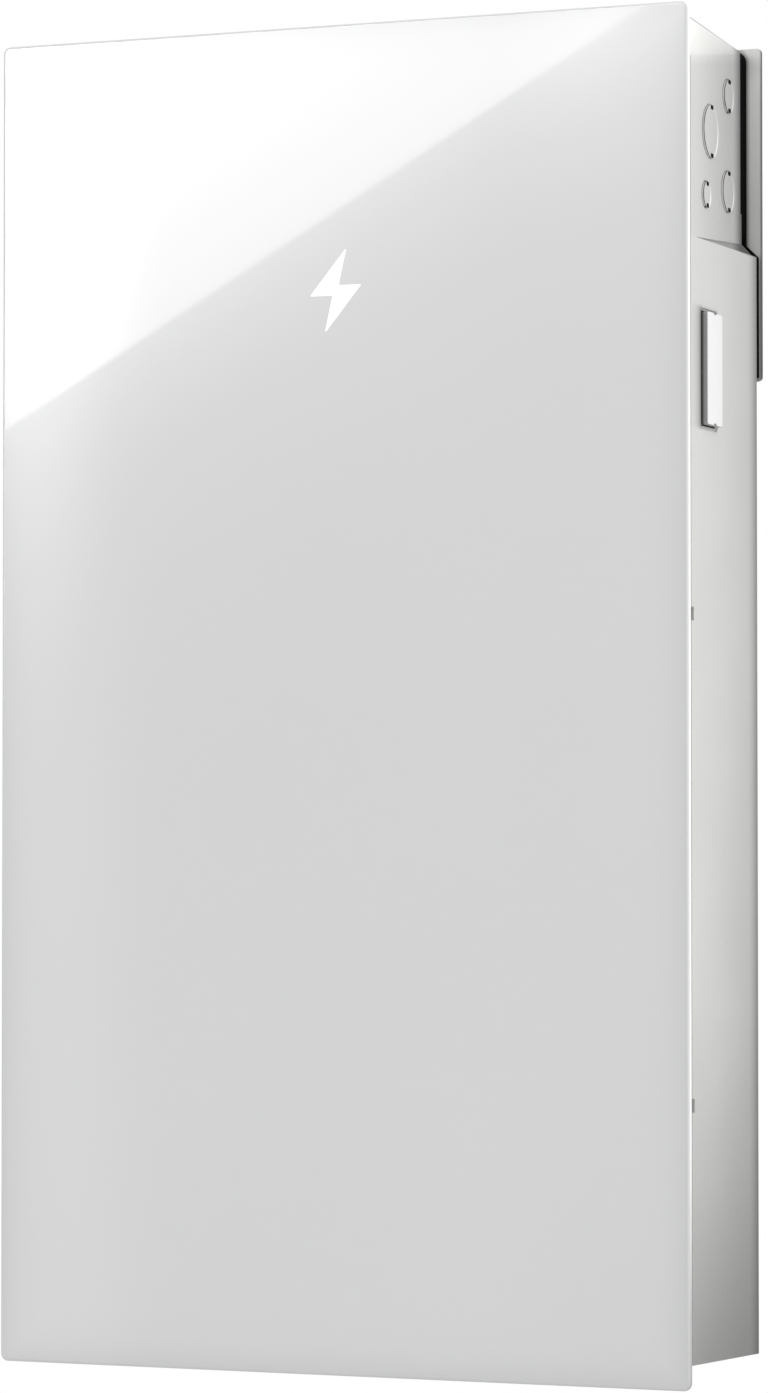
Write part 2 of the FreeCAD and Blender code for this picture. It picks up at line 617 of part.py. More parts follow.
def switch_gasket():
    wall = HALF_W - SHEET
    y0, y1 = SWITCH_Y - PADDLE_WIDTH / 2, SWITCH_Y + PADDLE_WIDTH / 2
    z0, z1 = SWITCH_Z - PADDLE_HEIGHT / 2, SWITCH_Z + PADDLE_HEIGHT / 2
    g = PADDLE_GAP
    ring = side_plate(wall - 1, wall, y0 - 5, y1 + 5, z0 - 5, z1 + 5, 6.0)
    hole = side_plate(wall - 2, wall + 1, y0 - PADDLE_GAP_FRONT, y1 + g, z0 - g, z1 + g, PADDLE_CORNER + g)
    return ring.cut(hole)


def paddle_blank(x0, x1, grow):
    """The rocker's outline with its finger marks at the top and bottom, from x0 to x1."""
    y0, y1 = SWITCH_Y - PADDLE_WIDTH / 2 - grow, SWITCH_Y + PADDLE_WIDTH / 2 + grow
    z0, z1 = SWITCH_Z - PADDLE_HEIGHT / 2 - grow, SWITCH_Z + PADDLE_HEIGHT / 2 + grow
    return side_plate(x0, x1, y0, y1, z0, z1, PADDLE_CORNER + grow)


def paddle_marks():
    top = HALF_W + PADDLE_PROUD
    half = PADDLE_HEIGHT / 2
    return [rounded(box(top - 1.5, top + 1, SWITCH_Y - 4, SWITCH_Y + 4, z - 1.8, z + 1.8), 1.2, X_AXIS)
            for z in (SWITCH_Z - half, SWITCH_Z + half)]


def rocker_face():
    x1 = HALF_W + PADDLE_PROUD
    face = paddle_blank(x1 - PADDLE_FACE, x1, -0.3)
    face = softened(face, 0.4, lambda c: abs(c.x - x1) < 1e-6)
    return cut_all(face, paddle_marks())


def rocker_paddle():
    x0, x1 = HALF_W + PADDLE_PROUD - PADDLE_THICK, HALF_W + PADDLE_PROUD - PADDLE_FACE
    cap = cut_all(paddle_blank(x0, x1, 0.0), paddle_marks())
    lug = rounded(box(PIVOT_X - 4.5, x0 + 0.5, SWITCH_Y - 10.5, SWITCH_Y + 10.5,
                      SWITCH_Z - 5, SWITCH_Z + 5), 4.0, Y_AXIS, lambda c: c.x < PIVOT_X)
    pads = [box(PIVOT_X - 2, x0 + 0.5, SWITCH_Y - 3, SWITCH_Y + 3,
                SWITCH_Z + s * PLUNGER_OFFSET - 3, SWITCH_Z + s * PLUNGER_OFFSET + 3) for s in (-1, 1)]
    bore = rod(PIVOT_R + 0.05, (PIVOT_X, SWITCH_Y - 12, SWITCH_Z), 24, Y_AXIS)
    return fuse_all([cap, lug] + pads).cut(bore)


def rocker_pin():
    return rod(PIVOT_R, (PIVOT_X, SWITCH_Y - 14, SWITCH_Z), 28, Y_AXIS)


def plunger(side):
    """A sealed switch's plunger: it bears on the rocker's pad and rides in the housing's bore."""
    wall = HALF_W - SHEET
    z = SWITCH_Z + side * PLUNGER_OFFSET
    top = PIVOT_X - 2 - 0.4
    stem = rod(PLUNGER_R, (wall - 17.5, SWITCH_Y, z), top - wall + 17.5, X_AXIS)
    return stem.makeFillet(0.8, [e for e in stem.Edges if abs(e.CenterOfMass.x - top) < 1e-6])


def switch_block():
    """Two sealed snap-action switches on the back of the housing."""
    wall = HALF_W - SHEET
    blocks = []
    for side in (-1, 1):
        z = SWITCH_Z + side * PLUNGER_OFFSET
        block = side_plate(wall - 27, wall - 15, SWITCH_Y - 6, SWITCH_Y + 6, z - 13, z + 13, 1.5)
        well = rod(PLUNGER_R + 0.4, (wall - 20, SWITCH_Y, z), 6, X_AXIS)
        tabs = [box(wall - 33, wall - 26.5, SWITCH_Y - 3, SWITCH_Y + 3, z + d - 0.4, z + d + 0.4)
                for d in (-9, 0, 9)]
        blocks.append(fuse_all([block.cut(well)] + tabs))
    return blocks


# ---------------------------------------------------------------- battery
def cell(x, z):
    w, d, h = CELL
    can = box(x - w / 2, x + w / 2, CELL_FRONT, CELL_FRONT + d, z, z + h)
    can = rounded(can, 3.0, Y_AXIS)
    posts = [rod(7.0, (x + s * POST_X, CELL_FRONT - 2.0, z + h / 2), 2.5, Y_AXIS) for s in (-1, 1)]
    vent = rod(6.0, (x, CELL_FRONT - 0.6, z + h / 2), 1.0, Y_AXIS)
    return fuse_all([can] + posts + [vent])


def cell_stack(x):
    return [cell(x, STACK_BASE + k * CELL_PITCH) for k in range(CELL_COUNT)]


def cell_spacers():
    w, d, h = CELL
    return [box(x - w / 2 + 4, x + w / 2 - 4, CELL_FRONT + 4, CELL_FRONT + d - 4,
                STACK_BASE + k * CELL_PITCH - CELL_GAP, STACK_BASE + k * CELL_PITCH)
            for x in (-STACK_X, STACK_X) for k in range(1, CELL_COUNT)]


def end_plates():
    w, d, h = CELL
    plates = []
    for x in (-STACK_X, STACK_X):
        for z in (STACK_BASE - END_PLATE, STACK_TOP):
            body = box(x - w / 2, x + w / 2, CELL_FRONT, CELL_FRONT + d, z, z + END_PLATE)
            slots = [box(x + c - 22, x + c + 22, CELL_FRONT + 14, CELL_FRONT + d - 14, z - 1, z + END_PLATE + 1)
                     for c in (-105, -35, 35, 105)]
            plates.append(cut_all(body, [rounded(s, 6.0, Z_AXIS) for s in slots]))
    return plates


def stack_straps():
    """Steel bands down both sides of each stack, folded over its end plates."""
    w, d, h = CELL
    low, high, t = STACK_BASE - END_PLATE, STACK_TOP + END_PLATE, 1.2
    straps = []
    for x in (-STACK_X, STACK_X):
        for y in (CELL_FRONT + 18, CELL_FRONT + d - 38):
            for side in (-1, 1):
                a = x + side * w / 2
                web = box(min(a, a + side * t), max(a, a + side * t), y, y + 20, low, high + t)
                fold = box(min(a + side * t, a - side * 20), max(a + side * t, a - side * 20),
                           y, y + 20, high, high + t)
                straps.append(fuse_all([web, fold]))
    return straps


def busbars():
    """Links that join neighbouring cells in series, right and left in turn, and one between the stacks."""
    y1 = CELL_FRONT - 2.0
    links = []
    for x in (-STACK_X, STACK_X):
        for k in range(CELL_COUNT - 1):
            side = -1 if k % 2 else 1
            z = STACK_BASE + k * CELL_PITCH + CELL[2] / 2
            link = plate(x + side * POST_X - 11, x + side * POST_X + 11, y1 - 2, y1, z - 11, z + CELL_PITCH + 11, 4.0)
            links.append(link)
    first = STACK_BASE + CELL[2] / 2
    left, right = -STACK_X - POST_X, STACK_X - POST_X
    tabs = [box(x - 10, x + 10, y1 - 2, y1, STACK_BASE - 9, first + 11) for x in (left, right)]
    bar = box(left - 10, right + 10, y1 - 2, y1, STACK_BASE - 9, STACK_BASE - 1)
    links.append(fuse_all([bar] + tabs))
    return links


def monitor_boards():
    """Cell-monitoring circuit boards down the middle of each stack."""
    boards = []
    for x in (-STACK_X, STACK_X):
        y = CELL_FRONT - 6.0
        body = box(x - 55, x + 55, y, y + BOARD_T, STACK_BASE + 20, STACK_TOP - 20)
        chips = [box(x + c - 8, x + c + 8, y - 2, y + 0.2, z - 8, z + 8)
                 for c in (-28, 28) for z in [STACK_BASE + 70 + 110 * k for k in range(5)]]
        boards.append(fuse_all([body] + chips))
    return boards


def battery_tray():
    y0, y1 = FLANGE_BACK + 0.5, DUCT_FRONT - 0.2
    x = HALF_W - SHEET - 1
    floor = box(-x, x, y0, y1, TRAY_TOP - 3, TRAY_TOP)
    lips = [box(s * x - (1.5 if s > 0 else 0), s * x + (0 if s > 0 else 1.5), y0, y1, TRAY_TOP - 3, TRAY_TOP + 25)
            for s in (-1, 1)]
    return fuse_all([floor] + lips)


def contactors():
    """The battery's two main relays, beside the power board."""
    units = []
    for x in (-266.0, -206.0):
        can = plate(x - 26, x + 26, -132, -70, -206, -152, 5.0)
        studs = [rod(4.0, (x + s * 13, -142, -179), 12, Y_AXIS) for s in (-1, 1)]
        foot = box(x - 26, x + 26, -70, DUCT_FRONT, -206, -200)
        units.append(fuse_all([can, foot] + studs))
    return units


def battery_fuse():
    body = rod(15.0, (-270, -100, -105), 72, X_AXIS)
    caps = [rod(16.5, (x, -100, -105), 12, X_AXIS) for x in (-272, -208)]
    blades = [box(x, x + 22, -102, -98, -113, -97) for x in (-290, -198)]
    base = box(-262, -206, -84, DUCT_FRONT, -120, -90)
    return [fuse_all([body] + caps + blades), base.cut(rod(17.0, (-280, -100, -105), 100, X_AXIS))]


def battery_cables():
    """Power leads from the stacks' last posts up to the contactors, each with a lug on its post."""
    top = STACK_TOP - CELL[2] / 2
    y = CELL_FRONT - 2.0
    low = STACK_TOP + END_PLATE
    first, second = -STACK_X - POST_X, STACK_X - POST_X
    left = bent_tube([(first, y - 5, top), (first, y - 5, low + 4), (-262.0, -146.0, low + 20),
                      (-279.0, -146.0, -179.0 - 12)], 4.0)
    right = bent_tube([(second, y - 5, top), (second, y - 5, low + 6), (20.0, -140.0, low + 14),
                       (-60.0, -140.0, low + 12), (-130.0, -140.0, low + 14), (-180.0, -146.0, low + 18),
                       (-193.0, -146.0, -179.0 - 12)], 4.0)
    lugs = [box(x - 8, x + 8, y - 2, y, top - 9, top + 9) for x in (first, second)]
    return [fuse_all([left, lugs[0]]), fuse_all([right, lugs[1]])]


# ---------------------------------------------------------------- inverter and cooling
SINK_X = 168.0, 272.0
SINK_LOW, SINK_HIGH = -196.0, -64.0


def duct_wall():
    x = HALF_W - SHEET - 1
    low, high = BOTTOM_BACK + 10, SINK_LOW - 1
    wall = box(-x, x, DUCT_FRONT, DUCT_FRONT + 1.5, low, high)
    holes = [rod(FAN_BORE_R, (c, DUCT_FRONT - 1, FAN_Z), 4, Y_AXIS) for c in (-FAN_X, FAN_X)]
    left = box(-x, -SINK_X[0] - 0.5, DUCT_FRONT, DUCT_FRONT + 1.5, SINK_LOW - 2, SINK_HIGH)
    right = box(SINK_X[1] + 0.5, x, DUCT_FRONT, DUCT_FRONT + 1.5, SINK_LOW - 2, SINK_HIGH)
    return cut_all(fuse_all([wall, left, right]), holes)


def heat_sink():
    x0, x1 = -SINK_X[0], SINK_X[1]
    base = box(x0, x1, HEAT_SINK_FACE, DUCT_FRONT + 1.5, SINK_LOW, SINK_HIGH)
    pitch, fin = 10.0, 2.0
    count = int((x1 - x0 - fin) // pitch) + 1
    fins = [box(x0 + k * pitch, x0 + k * pitch + fin, DUCT_FRONT, LOWER_BACK - SHEET - 4, SINK_LOW, SINK_HIGH)
            for k in range(count)]
    return fuse_all([base] + fins)


def power_board():
    return box(-SINK_X[0] + 4, SINK_X[1] - 12, BOARD_Y, BOARD_Y + BOARD_T, SINK_LOW + 3, SINK_HIGH - 3)


def power_modules():
    return [plate(x - 17, x + 17, BOARD_Y + BOARD_T, HEAT_SINK_FACE, -150, -112, 2.0)
            for x in range(-140, 241, 54)]


def capacitors():
    cans = []
    for k in range(7):
        x, z = -144 + 38 * k, -84.0
        can = rod(16.5, (x, BOARD_Y - 48, z), 48, Y_AXIS)
        cans.append(can.makeFillet(2.0, [e for e in can.Edges if abs(e.CenterOfMass.y - BOARD_Y + 48) < 1e-3]))
    return cans


def inductors():
    """Toroidal chokes standing on the power board."""
    rings = []
    for x in (-120, -48, 24, 96):
        ring = Part.makeTorus(22.0, 9.5, V(x, BOARD_Y - 9.8, -160), Y_AXIS)
        rings.append(ring)
    return rings


def relays():
    return [plate(x - 12, x + 12, BOARD_Y - 26, BOARD_Y, z - 15, z + 15, 1.5)
            for x in (158, 190, 222) for z in (-172, -132)]


def control_board():
    """The control board on four pillars in front of the power board."""
    y = -140.0
    body = box(-120, 120, y, y + BOARD_T, -190, -100)
    pillars = [rod(3.0, (x, y + BOARD_T, z), BOARD_Y - y - BOARD_T, Y_AXIS)
               for x in (-84, 60) for z in (-184, -106)]
    chips = [box(x - 12, x + 12, y - 2.5, y + 0.2, z - 12, z + 12)
             for x, z in ((-60, -130), (0, -150), (60, -130))]
    sockets = [box(x - 14, x + 14, y - 9, y + 0.2, -112, -103) for x in (-70, 0, 70)]
    return fuse_all([body] + pillars + chips + sockets)


def fan_frame(x):
    y0, y1, s = DUCT_FRONT - FAN_DEPTH, DUCT_FRONT, FAN_SIZE / 2
    body = plate(x - s, x + s, y0, y1, FAN_Z - s, FAN_Z + s, 5.0)
    bore = rod(FAN_BORE_R, (x, y0 - 1, FAN_Z), FAN_DEPTH + 2, Y_AXIS)
    hub = rod(17.0, (x, y1 - 4, FAN_Z), 4, Y_AXIS)
    spokes = [box(x - 1.5, x + 1.5, y1 - 4, y1, FAN_Z, FAN_Z + FAN_BORE_R + 0.5) for _ in range(4)]
    for k, spoke in enumerate(spokes):
        spoke.rotate(V(x, 0, FAN_Z), Y_AXIS, 45 + 90 * k)
    shaft_hole = rod(1.55, (x, y1 - 5, FAN_Z), 6, Y_AXIS)
    holes = [rod(2.2, (x + a, y0 - 1, FAN_Z + b), FAN_DEPTH + 2, Y_AXIS)
             for a in (-41, 41) for b in (-41, 41)]
    return cut_all(fuse_all([body.cut(bore), hub] + spokes), [shaft_hole] + holes)


def fan_rotor(x):
    """Hub, shaft and seven pitched blades."""
    y0, y1 = DUCT_FRONT - FAN_DEPTH + 2, DUCT_FRONT - 5.5
    hub = rod(16.0, (x, y0, FAN_Z), y1 - y0, Y_AXIS)
    hub = hub.makeChamfer(1.5, [e for e in hub.Edges if abs(e.CenterOfMass.y - y0) < 1e-6])
    shaft = rod(1.5, (x, y1 - 1, FAN_Z), 6.0, Y_AXIS)
    sweep = rod(42.5, (x, y0 + 2, FAN_Z), y1 - y0 - 3, Y_AXIS).cut(rod(14.5, (x, y0, FAN_Z), 30, Y_AXIS))
    rotor = fuse_all([hub, shaft])
    for k in range(7):
        blade = box(x - 13, x + 13, -0.9, 0.9, FAN_Z + 10, FAN_Z + 48)
        blade.translate(V(0, (y0 + y1) / 2, 0))
        blade.rotate(V(x, (y0 + y1) / 2, FAN_Z), Z_AXIS, 38)
        blade.rotate(V(x, 0, FAN_Z), Y_AXIS, 360 * k / 7 + 7)
        rotor = rotor.fuse(blade.common(sweep))
    return rotor


def intake_screen():
    """A fine insect screen over the intake slots, inside the bottom panel."""
    screens = []
    z = BOTTOM_FRONT + 6.0
    for cx in (-FAN_X, FAN_X):
        frame = box(cx - 95, cx + 95, -162, -94, z, z + 1.5)
        frame = frame.cut(box(cx - 89, cx + 89, -156, -100, z - 1, z + 3))
        bars = [box(cx - 90, cx + 90, y, y + 0.8, z + 0.2, z + 1.0) for y in range(-152, -101, 7)]
        bars += [box(cx + d, cx + d + 0.8, -157, -99, z + 0.4, z + 1.2) for d in range(-84, 85, 14)]
        screens.append(fuse_all([frame] + bars))
    return screens


# ---------------------------------------------------------------- wiring compartment
SHELF_Z = CROSS_LOW + 11.0
WIRING_BACK = UPPER_BACK - SHEET
PLATE_FRONT = WIRING_BACK - 3.5


def partition_shelf():
    x = HALF_W - SEAM_RECESS - SHEET - 0.5
    floor = box(-x, x, FLANGE_BACK + 0.2, WIRING_BACK - 0.3, SHELF_Z, SHELF_Z + 2)
    return cut_all(floor, [rod(11.0, (c, -110, SHELF_Z - 1), 4, Z_AXIS) for c in GLAND_X])


GLAND_X = (-180.0, -20.0, 150.0)


def shelf_glands():
    glands = []
    for x in GLAND_X:
        start = (x, -110, SHELF_Z - 8)
        body = rod(10.8, start, 22, Z_AXIS)
        collar = rod(15.0, (x, -110, SHELF_Z + 2), 5, Z_AXIS)
        nut = prism_xy([(x + 15.5 * math.cos(a), -110 + 15.5 * math.sin(a))
                        for a in [math.radians(60 * k + 30) for k in range(6)]], SHELF_Z - 5, SHELF_Z)
        bore = rod(6.2, (x, -110, SHELF_Z - 9), 26, Z_AXIS)
        glands.append(fuse_all([body, collar, nut]).cut(bore))
    return glands


def terminal_plate():
    body = plate(-288, 288, PLATE_FRONT, PLATE_FRONT + 1.5, -14, 112, 4.0)
    return cut_all(body, [rod(9.0, (x, PLATE_FRONT - 1, 100), 4, Y_AXIS) for x in (-200, 0, 200)])


def terminal_block(x, z, poles, pitch, depth, height):
    """A row of clamp terminals: a stepped body with a wire funnel and a screw well for each pole."""
    w = poles * pitch + 4
    y1 = PLATE_FRONT
    body = box(x, x + w, y1 - depth, y1, z, z + height)
    step = box(x - 1, x + w + 1, y1 - depth - 1, y1 - depth * 0.6, z - 1, z + height * 0.42)
    body = body.cut(step)
    cuts = []
    for k in range(poles):
        cx = x + 2 + pitch * (k + 0.5)
        cuts.append(rod(pitch * 0.32, (cx, y1 - depth * 0.32, z - 1), height * 0.5, Z_AXIS))
        cuts.append(rod(pitch * 0.30, (cx, y1 - depth - 1, z + height * 0.7), depth * 0.4, Y_AXIS))
    return cut_all(body, cuts)


AC_BLOCK = {"x": 70.0, "z": 20.0, "poles": 4, "pitch": 26.0, "depth": 62.0, "height": 58.0}
DC_BLOCK = {"x": -262.0, "z": 24.0, "poles": 12, "pitch": 15.0, "depth": 46.0, "height": 48.0}


def terminal_screws():
    screws = []
    for b in (AC_BLOCK, DC_BLOCK):
        for k in range(b["poles"]):
            cx = b["x"] + 2 + b["pitch"] * (k + 0.5)
            cz = b["z"] + b["height"] * 0.7
            y = PLATE_FRONT - b["depth"] * 0.6 - 5.5
            head = rod(b["pitch"] * 0.26, (cx, y, cz), 4.5, Y_AXIS)
            slot = box(cx - 0.7, cx + 0.7, y - 1, y + 1.4, cz - 9, cz + 9)
            screws.append(head.cut(slot))
    return screws


def ground_bar():
    y1 = PLATE_FRONT - 12
    bar = box(-60, 50, y1 - 8, y1, 30, 42)
    posts = [rod(3.5, (x, y1, 36), 12, Y_AXIS) for x in (-50, 40)]
    wire_holes = [rod(2.6, (x, y1 - 4, 29), 14, Z_AXIS) for x in range(-38, 39, 12)]
    return cut_all(fuse_all([bar] + posts), wire_holes)


def ground_screws():
    screws = []
    y = PLATE_FRONT - 12 - 8
    for x in range(-38, 39, 12):
        head = rod(3.6, (x, y - 3, 36), 3, Y_AXIS)
        screws.append(head.cut(box(x - 0.5, x + 0.5, y - 4, y - 1.8, 32, 40)))
    return screws


def comms_board():
    y = PLATE_FRONT - 14
    body = box(206, 282, y, y + BOARD_T, 2, 92)
    posts = [rod(2.5, (x, y + BOARD_T, z), 14 - BOARD_T, Y_AXIS) for x in (211, 277) for z in (7, 87)]
    chips = [box(x - 8, x + 8, y - 2, y + 0.2, z - 8, z + 8) for x, z in ((228, 66), (260, 50))]
    return fuse_all([body] + posts + chips)


def comms_connectors():
    y = PLATE_FRONT - 14
    parts = []
    for x in (222, 244):
        jack = box(x - 8, x + 8, y - 14, y, 3, 22)
        parts.append(jack.cut(box(x - 6, x + 6, y - 11, y - 3, 2, 14)))
    header = box(256, 280, y - 12, y, 4, 18)
    parts.append(cut_all(header, [box(x - 1.6, x + 1.6, y - 9, y - 4, 3, 10) for x in (260, 265, 270, 275)]))
    return parts


def wiring_harness():
    """Leads that rise through the shelf's glands to the terminal blocks and the ground bar."""
    y, base, bend = -110.0, SHELF_Z - 20, SHELF_Z + 30
    low_ac = AC_BLOCK["z"] - 1
    low_dc = DC_BLOCK["z"] - 1
    ac_x = AC_BLOCK["x"] + 2 + AC_BLOCK["pitch"] * 1.5
    dc_x = DC_BLOCK["x"] + 2 + DC_BLOCK["pitch"] * 5.5
    ac_y = PLATE_FRONT - AC_BLOCK["depth"] * 0.32
    dc_y = PLATE_FRONT - DC_BLOCK["depth"] * 0.32
    return [
        bent_tube([(150.0, y, base), (150.0, y, bend), (ac_x, ac_y, bend + 16), (ac_x, ac_y, low_ac + 10)], 4.2),
        bent_tube([(-180.0, y, base), (-180.0, y, bend), (dc_x, dc_y, bend + 20), (dc_x, dc_y, low_dc + 10)], 3.4),
        bent_tube([(-20.0, y, base), (-20.0, y, bend), (-26.0, PLATE_FRONT - 16, bend + 20),
                   (-26.0, PLATE_FRONT - 16, 34.0)], 2.4),
    ]


# ---------------------------------------------------------------- build
def build():
    os.makedirs(OUT, exist_ok=True)
    lid_places, cover_places = lid_screw_places(), cover_screw_places()
    window = HALF_W - 19.5

    save("wall_plate", wall_plate())
    save("hanger_frame", hanger_frame())
    save("unit_hooks", unit_hooks())
    save("wall_spacers", wall_spacers())
    save("enclosure_tub", enclosure())

    save("battery_lid", battery_lid())
    save("battery_lid_gasket", gasket(LID_X, LID_LOW, LID_HIGH, window, lid_places))
    save("battery_lid_screws", [lid_screw(p) for p in lid_places])
    save("wiring_cover", wiring_cover())
    save("wiring_cover_gasket", gasket(LID_X - 3, COVER_LOW, COVER_HIGH, window - 3, cover_places))
    save("wiring_cover_screws", [lid_screw(p) for p in cover_places])

    save("front_glass", front_glass())
    save("emblem", emblem())
    save("cover_carrier", cover_carrier())
    save("cover_bond", cover_bond())
    save("snap_studs", snap_studs())
    save("snap_clips", snap_clips())

    save("switch_housing", switch_housing())
    save("switch_gasket", switch_gasket())
    save("switch_block", switch_block())
    save("rocker_paddle", rocker_paddle())
    save("rocker_face", rocker_face())
    save("rocker_pin", rocker_pin())
    save("plunger_upper", plunger(1))
    save("plunger_lower", plunger(-1))

    save("battery_tray", battery_tray())
    save("cells_left", cell_stack(-STACK_X))
    save("cells_right", cell_stack(STACK_X))
    save("cell_spacers", cell_spacers())
    save("stack_end_plates", end_plates())
    save("stack_straps", stack_straps())
    save("busbars", busbars())
    save("monitor_boards", monitor_boards())
    save("battery_contactors", contactors())
    save("battery_fuse", battery_fuse())
    save("battery_cables", battery_cables())

    save("duct_wall", duct_wall())
    save("heat_sink", heat_sink())
    save("power_board", power_board())
    save("power_modules", power_modules())
    save("capacitors", capacitors())
    save("inductors", inductors())
    save("relays", relays())
    save("control_board", control_board())
    save("fan_frames", [fan_frame(-FAN_X), fan_frame(FAN_X)])
    save("fan_rotor_left", fan_rotor(-FAN_X))
    save("fan_rotor_right", fan_rotor(FAN_X))
    save("intake_screen", intake_screen())

    save("partition_shelf", partition_shelf())
    save("shelf_glands", shelf_glands())
    save("terminal_plate", terminal_plate())
    save("ac_terminal_block", terminal_block(**AC_BLOCK))
    save("dc_terminal_block", terminal_block(**DC_BLOCK))
    save("terminal_screws", terminal_screws())
    save("ground_bar", ground_bar())
    save("ground_screws", ground_screws())
    save("comms_board", comms_board())
    save("comms_connectors", comms_connectors())
    save("wiring_harness", wiring_harness())


build()
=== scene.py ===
"""Looks for the wall battery unit: materials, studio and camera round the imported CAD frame.

Metres. The origin is on the wall, +X goes right, -Y out of the wall and +Z up. Depth is measured
back from the glass's front, and height up from the glass's lower edge."""

import json
import math

import bmesh
import bpy
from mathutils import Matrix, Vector

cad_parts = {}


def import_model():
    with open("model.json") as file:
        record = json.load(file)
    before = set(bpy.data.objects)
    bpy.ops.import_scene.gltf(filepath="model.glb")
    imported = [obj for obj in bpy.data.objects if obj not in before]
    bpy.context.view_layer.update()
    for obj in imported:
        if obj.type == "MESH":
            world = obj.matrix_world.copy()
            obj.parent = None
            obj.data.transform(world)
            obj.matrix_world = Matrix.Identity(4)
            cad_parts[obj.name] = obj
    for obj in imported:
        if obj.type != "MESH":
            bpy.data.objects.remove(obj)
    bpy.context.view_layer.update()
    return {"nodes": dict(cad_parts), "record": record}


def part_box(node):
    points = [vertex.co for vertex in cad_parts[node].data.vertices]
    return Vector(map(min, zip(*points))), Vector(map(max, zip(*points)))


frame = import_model()
nodes = frame["nodes"]
scene = bpy.context.scene
scene.view_settings.view_transform = "Standard"

glass_low, glass_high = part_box("front_glass")
tub_low, tub_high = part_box("enclosure_tub")
bracket_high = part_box("wall_plate")[1]
hanger_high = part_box("hanger_frame")[1]
rocker_low, rocker_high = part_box("rocker_paddle")
front_y = glass_low.y
mounts = {mount["name"]: mount for mount in frame["record"]["mounts"]}


# ---------------------------------------------------------------- material tools
MIX_A, MIX_B, MIX_RESULT = 6, 7, 2  # the mix node's colour sockets, which share their names with others
MIX_NUMBER_A, MIX_NUMBER_B = 2, 3  # and its number sockets


class Shader:
    """A material with one Principled shader, and short calls for the nodes that feed it.

    A value is either a plain number, set on the socket, or another node's output, linked to it."""

    def __init__(self, name):
        self.material = bpy.data.materials.new(name)
        self.material.use_nodes = True
        self.tree = self.material.node_tree
        self.principled = self.tree.nodes["Principled BSDF"]
        self.coords = self.tree.nodes.new("ShaderNodeTexCoord").outputs["Object"]

    def node(self, kind, inputs=None, **settings):
        made = self.tree.nodes.new(kind)
        for key, value in settings.items():
            setattr(made, key, value)
        for key, value in (inputs or {}).items():
            self.put(made.inputs[key], value)
        return made

    def put(self, socket, value):
        if isinstance(value, bpy.types.NodeSocket):
            self.tree.links.new(value, socket)
        else:
            socket.default_value = value

    def set(self, **inputs):
        for key, value in inputs.items():
            self.put(self.principled.inputs[key.replace("_", " ")], value)

    def noise(self, scale, detail=3.0, rough=0.5, vector=None, stretch=None):
        place = vector or self.coords
        if stretch:
            mapping = self.node("ShaderNodeMapping", {"Vector": place, "Scale": stretch})
            place = mapping.outputs["Vector"]
        made = self.node("ShaderNodeTexNoise",
                         {"Vector": place, "Scale": scale, "Detail": detail, "Roughness": rough})
        return made.outputs["Fac"]

    def cells(self, scale, distance="EUCLIDEAN"):
        """A pattern of cells round scattered points."""
        return self.node("ShaderNodeTexVoronoi", {"Vector": self.coords, "Scale": scale},
                         feature="F1", distance=distance)

    def span(self, value, low, high, out_low=0.0, out_high=1.0, smooth=False):
        """From out_low to out_high while the value goes from low to high, and level beyond."""
        kind = "SMOOTHSTEP" if smooth else "LINEAR"
        made = self.node("ShaderNodeMapRange", {"Value": value, "From Min": low, "From Max": high,
                                                "To Min": out_low, "To Max": out_high},
                         interpolation_type=kind, clamp=True)
        return made.outputs["Result"]

    def math(self, operation, a, b=0.0):
        made = self.node("ShaderNodeMath", operation=operation)
        self.put(made.inputs[0], a)
        self.put(made.inputs[1], b)
        return made.outputs[0]

    def minus(self, a, b):
        """a - b."""
        return self.math("SUBTRACT", a, b)

    def rest(self, value):
        """What is left of 1."""
        return self.minus(1.0, value)

    def absolute(self, value):
        return self.math("ABSOLUTE", value)

    def length(self, a, b):
        """The square root of a * a + b * b."""
        return self.math("SQRT", self.math("ADD", self.product(a, a), self.product(b, b)))

    def mix(self, factor, a, b):
        """From colour a at factor 0 to colour b at factor 1."""
        made = self.node("ShaderNodeMix", data_type="RGBA")
        self.put(made.inputs["Factor"], factor)
        for socket, colour in ((MIX_A, a), (MIX_B, b)):
            self.put(made.inputs[socket], colour + (1.0,) if isinstance(colour, tuple) else colour)
        return made.outputs[MIX_RESULT]

    def tint(self, colour, factor):
        """A colour multiplied by a number that varies over the surface."""
        made = self.node("ShaderNodeMix", data_type="RGBA", blend_type="MULTIPLY")
        made.inputs["Factor"].default_value = 1.0
        self.put(made.inputs[MIX_A], colour)
        self.put(made.inputs[MIX_B], factor)
        return made.outputs[MIX_RESULT]

    def total(self, *terms):
        result = terms[0]
        for term in terms[1:]:
            result = self.math("ADD", result, term)
        return result

    def product(self, *factors):
        result = factors[0]
        for factor in factors[1:]:
            result = self.math("MULTIPLY", result, factor)
        return result

    def bump(self, height, strength, distance, normal=None):
        inputs = {"Height": height, "Strength": strength, "Distance": distance}
        if normal is not None:
            inputs["Normal"] = normal
        made = self.node("ShaderNodeBump", inputs)
        return made.outputs["Normal"]

    def axis(self, letter, source=None):
        made = self.node("ShaderNodeSeparateXYZ", {"Vector": source or self.coords})
        return made.outputs[letter]

    def facing(self, letter):
        """How far the surface faces along an axis, from -1 to 1."""
        geometry = self.node("ShaderNodeNewGeometry")
        return self.axis(letter, geometry.outputs["Normal"])


def shade(colour, factor):
    """A lighter or darker version of a colour."""
    return tuple(max(0.0, min(1.0, c * factor)) for c in colour)


